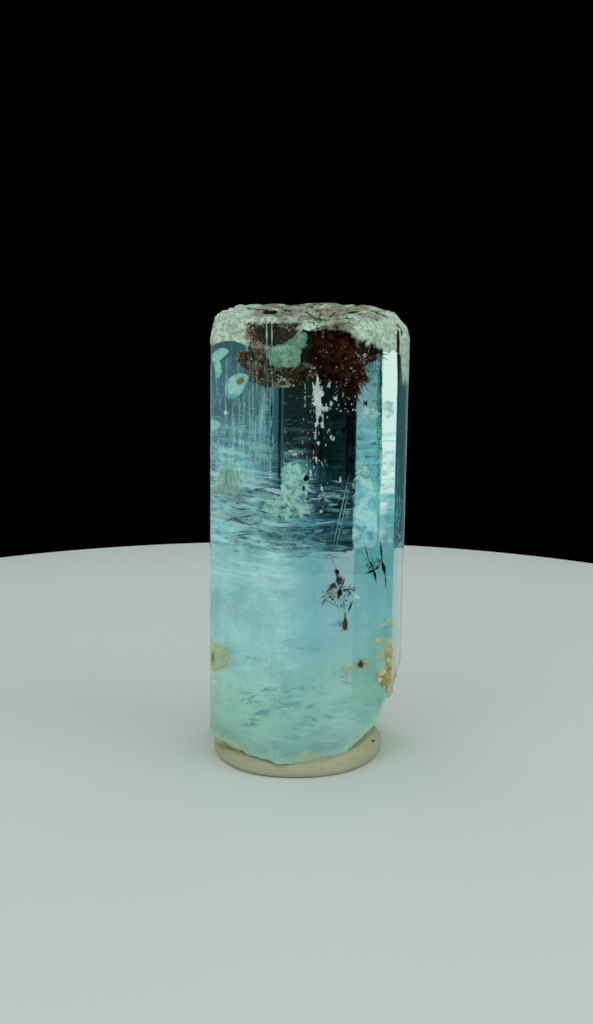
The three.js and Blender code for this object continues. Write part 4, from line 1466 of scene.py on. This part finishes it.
# Thin ochre rings and patches.
THIN_STAINS = [
    ([(380, 621), (388, 619), (395, 622), (394, 627), (386, 624), (381, 627)], 0.25, 0.2),
    ([(374, 640), (382, 637), (390, 640), (388, 646), (380, 642), (375, 645)], 0.25, 0.2),
    ([(341, 669), (347, 664), (354, 668), (350, 673), (344, 674)], 0.3, 0.1),
    ([(376, 655), (386, 648), (394, 644), (396, 650), (386, 656), (378, 660)], 0.25, 0.2),
]
grown("ochre_stain", lenses(STAINS, ragged=0.2, lumps=0.5, size=2.5), ochre_crust, "iron_oxide")
grown("ochre_films", lenses(THIN_STAINS, ragged=0.2), ochre_film)
grown("olive_films", lenses(SMOOTH_STAINS, ragged=0.15), olive_film)
grown("brown_spots", lenses(BROWN_SPOTS, ragged=0.3), olive_stain)
stain_bits = [scattered_plates(STAINS, 130, 0.12), scattered_plates(THIN_STAINS, 30, 0.10)]
toned("ochre_grains", stain_bits, ochre_grains, tilt=0.7)

# %% [markdown]
# ## A crack along the right edge
#
# A narrow black crack runs down the edge beside the narrow right side. It is too thin for any depth to
# show, so a slim lens just behind the face is enough.

# %% Crack at the right edge
RIGHT_LINE = [(397, 333), (399, 331), (400, 350), (399.5, 375), (398, 384), (397.2, 365), (397, 350)]
grown("right_line", [lens(RIGHT_LINE, 0.05, 0.04)], black)

# %% [markdown]
# ## Display putty
#
# A lump of soft putty holds the foot. It is a pressed disc with a rounded rim and one fold squeezed up at
# the right. Its surface is dull, with finger dents, and paler and greyer patches run into each other. One
# dark fleck is pressed into the fold.

# %% Putty
PUTTY_CENTRE = np.array([-0.57, -0.05]) + shift[:2]
PUTTY_RADIUS, PUTTY_RIM, PUTTY_FOLD = 7.24, 1.13, 2.33
FOLD_HEADING, FOLD_SPREAD = -0.35, 0.62
# The section as (share of the reach, share of the height), from the middle below round to the middle on top.
PUTTY_SECTION = np.array([
    (0, 0), (0.5, 0), (0.955, 0), (0.99, 0.08), (1, 0.3), (0.985, 0.62), (0.93, 0.88), (0.84, 1), (0.5, 1),
    (0, 1),
])
# How far the putty stays below the crystal's foot, and how steeply it may rise beside the crystal.
SEAT_GAP, SEAT_SLOPE = 0.05, 6


def putty_grid(rows=150, around=320):
    """Rows x columns points: the section turned about the axis, its reach waved by the third and fifth
    harmonics of the angle, its height raised in a bell round the fold's heading, and pressed below the
    crystal's foot."""
    along = np.linspace(0, len(PUTTY_SECTION) - 1, rows)
    numbers = np.arange(len(PUTTY_SECTION))
    share, height = (np.interp(along, numbers, column)[:, None] for column in PUTTY_SECTION.T)
    angle = np.linspace(-np.pi, np.pi, around, endpoint=False)[None]
    reach = share * PUTTY_RADIUS * (1 + 0.01 * np.sin(3 * angle + 0.6) + 0.01 * np.sin(5 * angle))
    x, y = reach * np.cos(angle), reach * np.sin(angle)
    bell = np.exp(-(((angle - FOLD_HEADING) / FOLD_SPREAD) ** 2))
    rise = PUTTY_RIM + (PUTTY_FOLD - PUTTY_RIM) * bell * share
    dents = 0.05 * bumps(x / 2.1 + 3, y / 2.1) + 0.02 * bumps(x / 0.7, y / 0.7) + 0.006 * bumps(x / 0.2, y / 0.2)
    z = height * (rise - 0.03 + np.minimum(dents, 0.03))
    crystal_xy = np.stack([x, y], -1) + PUTTY_CENTRE - shift[:2]
    outside = -(DISTANCES - crystal_xy @ FACE_NORMALS.T).min(-1)
    beside = SEAT_SLOPE * np.clip(outside - SEAT_GAP, 0, None)
    seat = foot_height(crystal_xy[..., 0], crystal_xy[..., 1]) - SEAT_GAP + beside
    return np.stack([x + PUTTY_CENTRE[0], y + PUTTY_CENTRE[1], np.clip(np.minimum(z, seat), 0, None)], -1)


putty_points = putty_grid()
putty_paint = mottled_paint(
    "putty", (0.36, 0.37, 0.24), (0.375, 0.385, 0.255), (0.345, 0.35, 0.225), scale=0.35, patch_share=0.52,
    spot_share=0.4, relief=0.05,
)
putty = make_piece(
    "pressed_putty", putty_points.reshape(-1, 3), grid_faces(*putty_points.shape[:2], wrap=True), "putty")
putty.data.materials.append(putty_paint)
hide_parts("display_putty")

# %% Dark fleck in the putty
# It sits where the putty nearest the camera is seen within this reach of its pixel.
FLECK_PIXEL, FLECK_REACH = (372.5, 739.5), 1.5
FLECK_AXES = np.array([[[0.36, 0.0, 0.08]], [[0.0, 0.07, 0.07]], [[0.02, 0.06, -0.06]]])
seen_putty = np.linalg.norm(pixels_of(upright(putty_points)) - FLECK_PIXEL, axis=-1)
fleck_place = min(putty_points[seen_putty < FLECK_REACH], key=lambda point: point[1])
fleck = make_piece("putty_fleck", *spindles(fleck_place[None], *FLECK_AXES), "putty", smooth=False)
fleck.data.materials.append(black)

# %% [markdown]
# ## Turntable
#
# The stone stands on a round, pale, matt turntable whose rear rim shows behind it. Seen through the
# crystal, the same rim is the line where the clear half meets the milky one, so its place matters. It is a
# profile turned about an axis, with a small round at the rim.

# %% Turntable
FLOOR_RADIUS = 75.0
FLOOR_CENTRE = (-4.0, 2.5)
# How far the floor lies below the putty, so that the two never share a plane.
FLOOR_DROP, FLOOR_AROUND = 0.02, 180
# Distance from the axis and height, from the middle out to the rim and down its side.
FLOOR_PROFILE = np.array([
    (0.001, 0), (20, 0), (60, 0), (FLOOR_RADIUS - 0.7, 0), (FLOOR_RADIUS - 0.2, -0.15), (FLOOR_RADIUS, -0.6),
    (FLOOR_RADIUS, -6),
])
turn = np.linspace(0, 2 * np.pi, FLOOR_AROUND, endpoint=False)
ring = np.stack([np.cos(turn), np.sin(turn)], 1)
across = FLOOR_PROFILE[:, None, :1] * ring[None] + FLOOR_CENTRE
heights = np.repeat(FLOOR_PROFILE[:, None, 1:], FLOOR_AROUND, 1) - FLOOR_DROP
floor_points = np.concatenate([across, heights], -1)
floor_faces = grid_faces(len(FLOOR_PROFILE), FLOOR_AROUND, wrap=True)[:, ::-1]
floor = make_piece("pale_floor", floor_points.reshape(-1, 3), floor_faces, "putty")
material, tree, output = new_material("pale_floor")
coat(tree, output, Base_Color=(0.62, 0.70, 0.67, 1), Roughness=0.6)
floor.data.materials.append(material)

# %% [markdown]
# ## Light
#
# A studio with black walls: two large softboxes stand left and right of the stone, smaller ones behind and
# in front, and one hangs overhead. The clear prism shows each lamp as an upright band, so every lamp's
# heading and height decide where a band falls. Lamps that only light the milk are hidden from the glass.

# %% Softboxes
world = bpy.data.worlds.new("black_room")
scene.world = world
world.use_nodes = True
world.node_tree.nodes["Background"].inputs["Color"].default_value = (0, 0, 0, 1)
world.node_tree.nodes["Background"].inputs["Strength"].default_value = 0.0
# Name, azimuth, distance, height of the middle, width, height, radiance, tint, the height it faces if that
# isn't its own, and whether it is hidden from mirror images in the faces and from the view through glass.
LAMPS = [
    ("left_softbox", -110, 260, -10, 220, 240, 1.2, (1.0, 0.84, 0.73), None, "mirror"),
    ("right_front_softbox", 127, 260, -10, 200, 240, 0.42, (0.9, 1.0, 0.96), None, "mirror"),
    ("right_back_fill", 46, 300, -30, 160, 160, 0.12, (0.3, 0.85, 1.0), None, ""),
    ("right_back_low", 46, 299, -95, 160, 150, 0.07, (0.4, 0.9, 1.0), None, ""),
    ("right_back_lowest", 46, 298, -113, 160, 150, 0.13, (0.7, 0.95, 1.0), None, ""),
    ("right_key", 112, 240, 60, 160, 160, 2.8, (1.0, 1.0, 0.95), 20, "mirror glass"),
    ("left_back_softbox", -55, 300, 60, 200, 80, 1.2, (1.0, 0.85, 0.75), None, ""),
    ("left_back_low", -55, 300, -60, 200, 160, 0.06, (0.3, 0.85, 1.0), None, ""),
    ("left_key", -140, 260, 60, 120, 120, 2.6, (0.8, 1.0, 1.0), 20, "mirror glass"),
    ("strip_fill", 19, 300, -30, 60, 160, 0.12, (0.3, 0.85, 1.0), None, ""),
    ("front_fill", 180, 330, 70, 150, 150, 1.7, (1.0, 1.0, 0.96), 20, "mirror"),
    ("top_softbox", 0, 1, 260, 600, 600, 1.04, (1, 1, 1), 0, ""),
]


def softbox(name, azimuth, distance, centre_z, width, height, radiance, tint, aim_z, hidden):
    """A soft area light at an azimuth (0 is behind the crystal, growing to the right), facing the crystal.
    An area light's power in watts is its radiance times pi times its area."""
    lamp = bpy.data.lights.new(name, "AREA")
    lamp.shape = "RECTANGLE"
    lamp.size, lamp.size_y = width * MM, height * MM
    lamp.energy = radiance * math.pi * lamp.size * lamp.size_y
    lamp.color = tint
    lamp_object = bpy.data.objects.new(name, lamp)
    turn = math.radians(azimuth)
    place = np.array([distance * math.sin(turn), distance * math.cos(turn), centre_z])
    aim = np.array([0, 0, centre_z if aim_z is None else aim_z])
    lamp_object.location = place * MM
    lamp_object.rotation_euler = Vector(aim - place).to_track_quat("-Z", "Y").to_euler()
    lamp_object.visible_camera = False
    lamp_object.visible_glossy = "mirror" not in hidden
    lamp_object.visible_transmission = "glass" not in hidden
    scene.collection.objects.link(lamp_object)
    return lamp_object


lamps = [softbox(*row) for row in LAMPS]
# The last one lies flat overhead.
lamps[-1].rotation_euler = (0, 0, 0)
print("lamps:", len(lamps))

# %% [markdown]
# ## Camera
#
# The camera stands where the photograph's stood, as found from the turntable's rim: a little above the
# stone and looking slightly down. Everything behind a pixel was laid out with the same values, so they
# aren't given again.

# %% Camera
view = bpy.data.cameras.new("photo_view")
view.sensor_width = 36
view.lens = view.sensor_width * FOCAL_PIXELS / PHOTO_HEIGHT
view.clip_start, view.clip_end = 1 * MM, 10
camera = bpy.data.objects.new("photo_view", view)
camera.location = CAMERA_PLACE * MM
camera.rotation_euler = (math.pi / 2 - PITCH_DOWN, 0, 0)
scene.collection.objects.link(camera)
scene.camera = camera
print(f"camera: {view.lens:.1f} mm lens, {np.linalg.norm(CAMERA_PLACE):.0f} mm from the origin")

# %% [markdown]
# ## Paths of light
#
# Light bounces inside the prism many times before it leaves, and a ray may cross dozens of thin films on
# its way. With too few bounces the bands would turn black, so the limits are high. Standard view keeps
# colours as set.

# %% Paths of light
GLASS_BOUNCES, FILM_LAYERS = 32, 96
scene.cycles.max_bounces = GLASS_BOUNCES
scene.cycles.glossy_bounces = GLASS_BOUNCES
scene.cycles.transmission_bounces = GLASS_BOUNCES
scene.cycles.transparent_max_bounces = FILM_LAYERS
scene.view_settings.view_transform = "Standard"
print("bounces:", GLASS_BOUNCES, "in glass,", FILM_LAYERS, "through films")
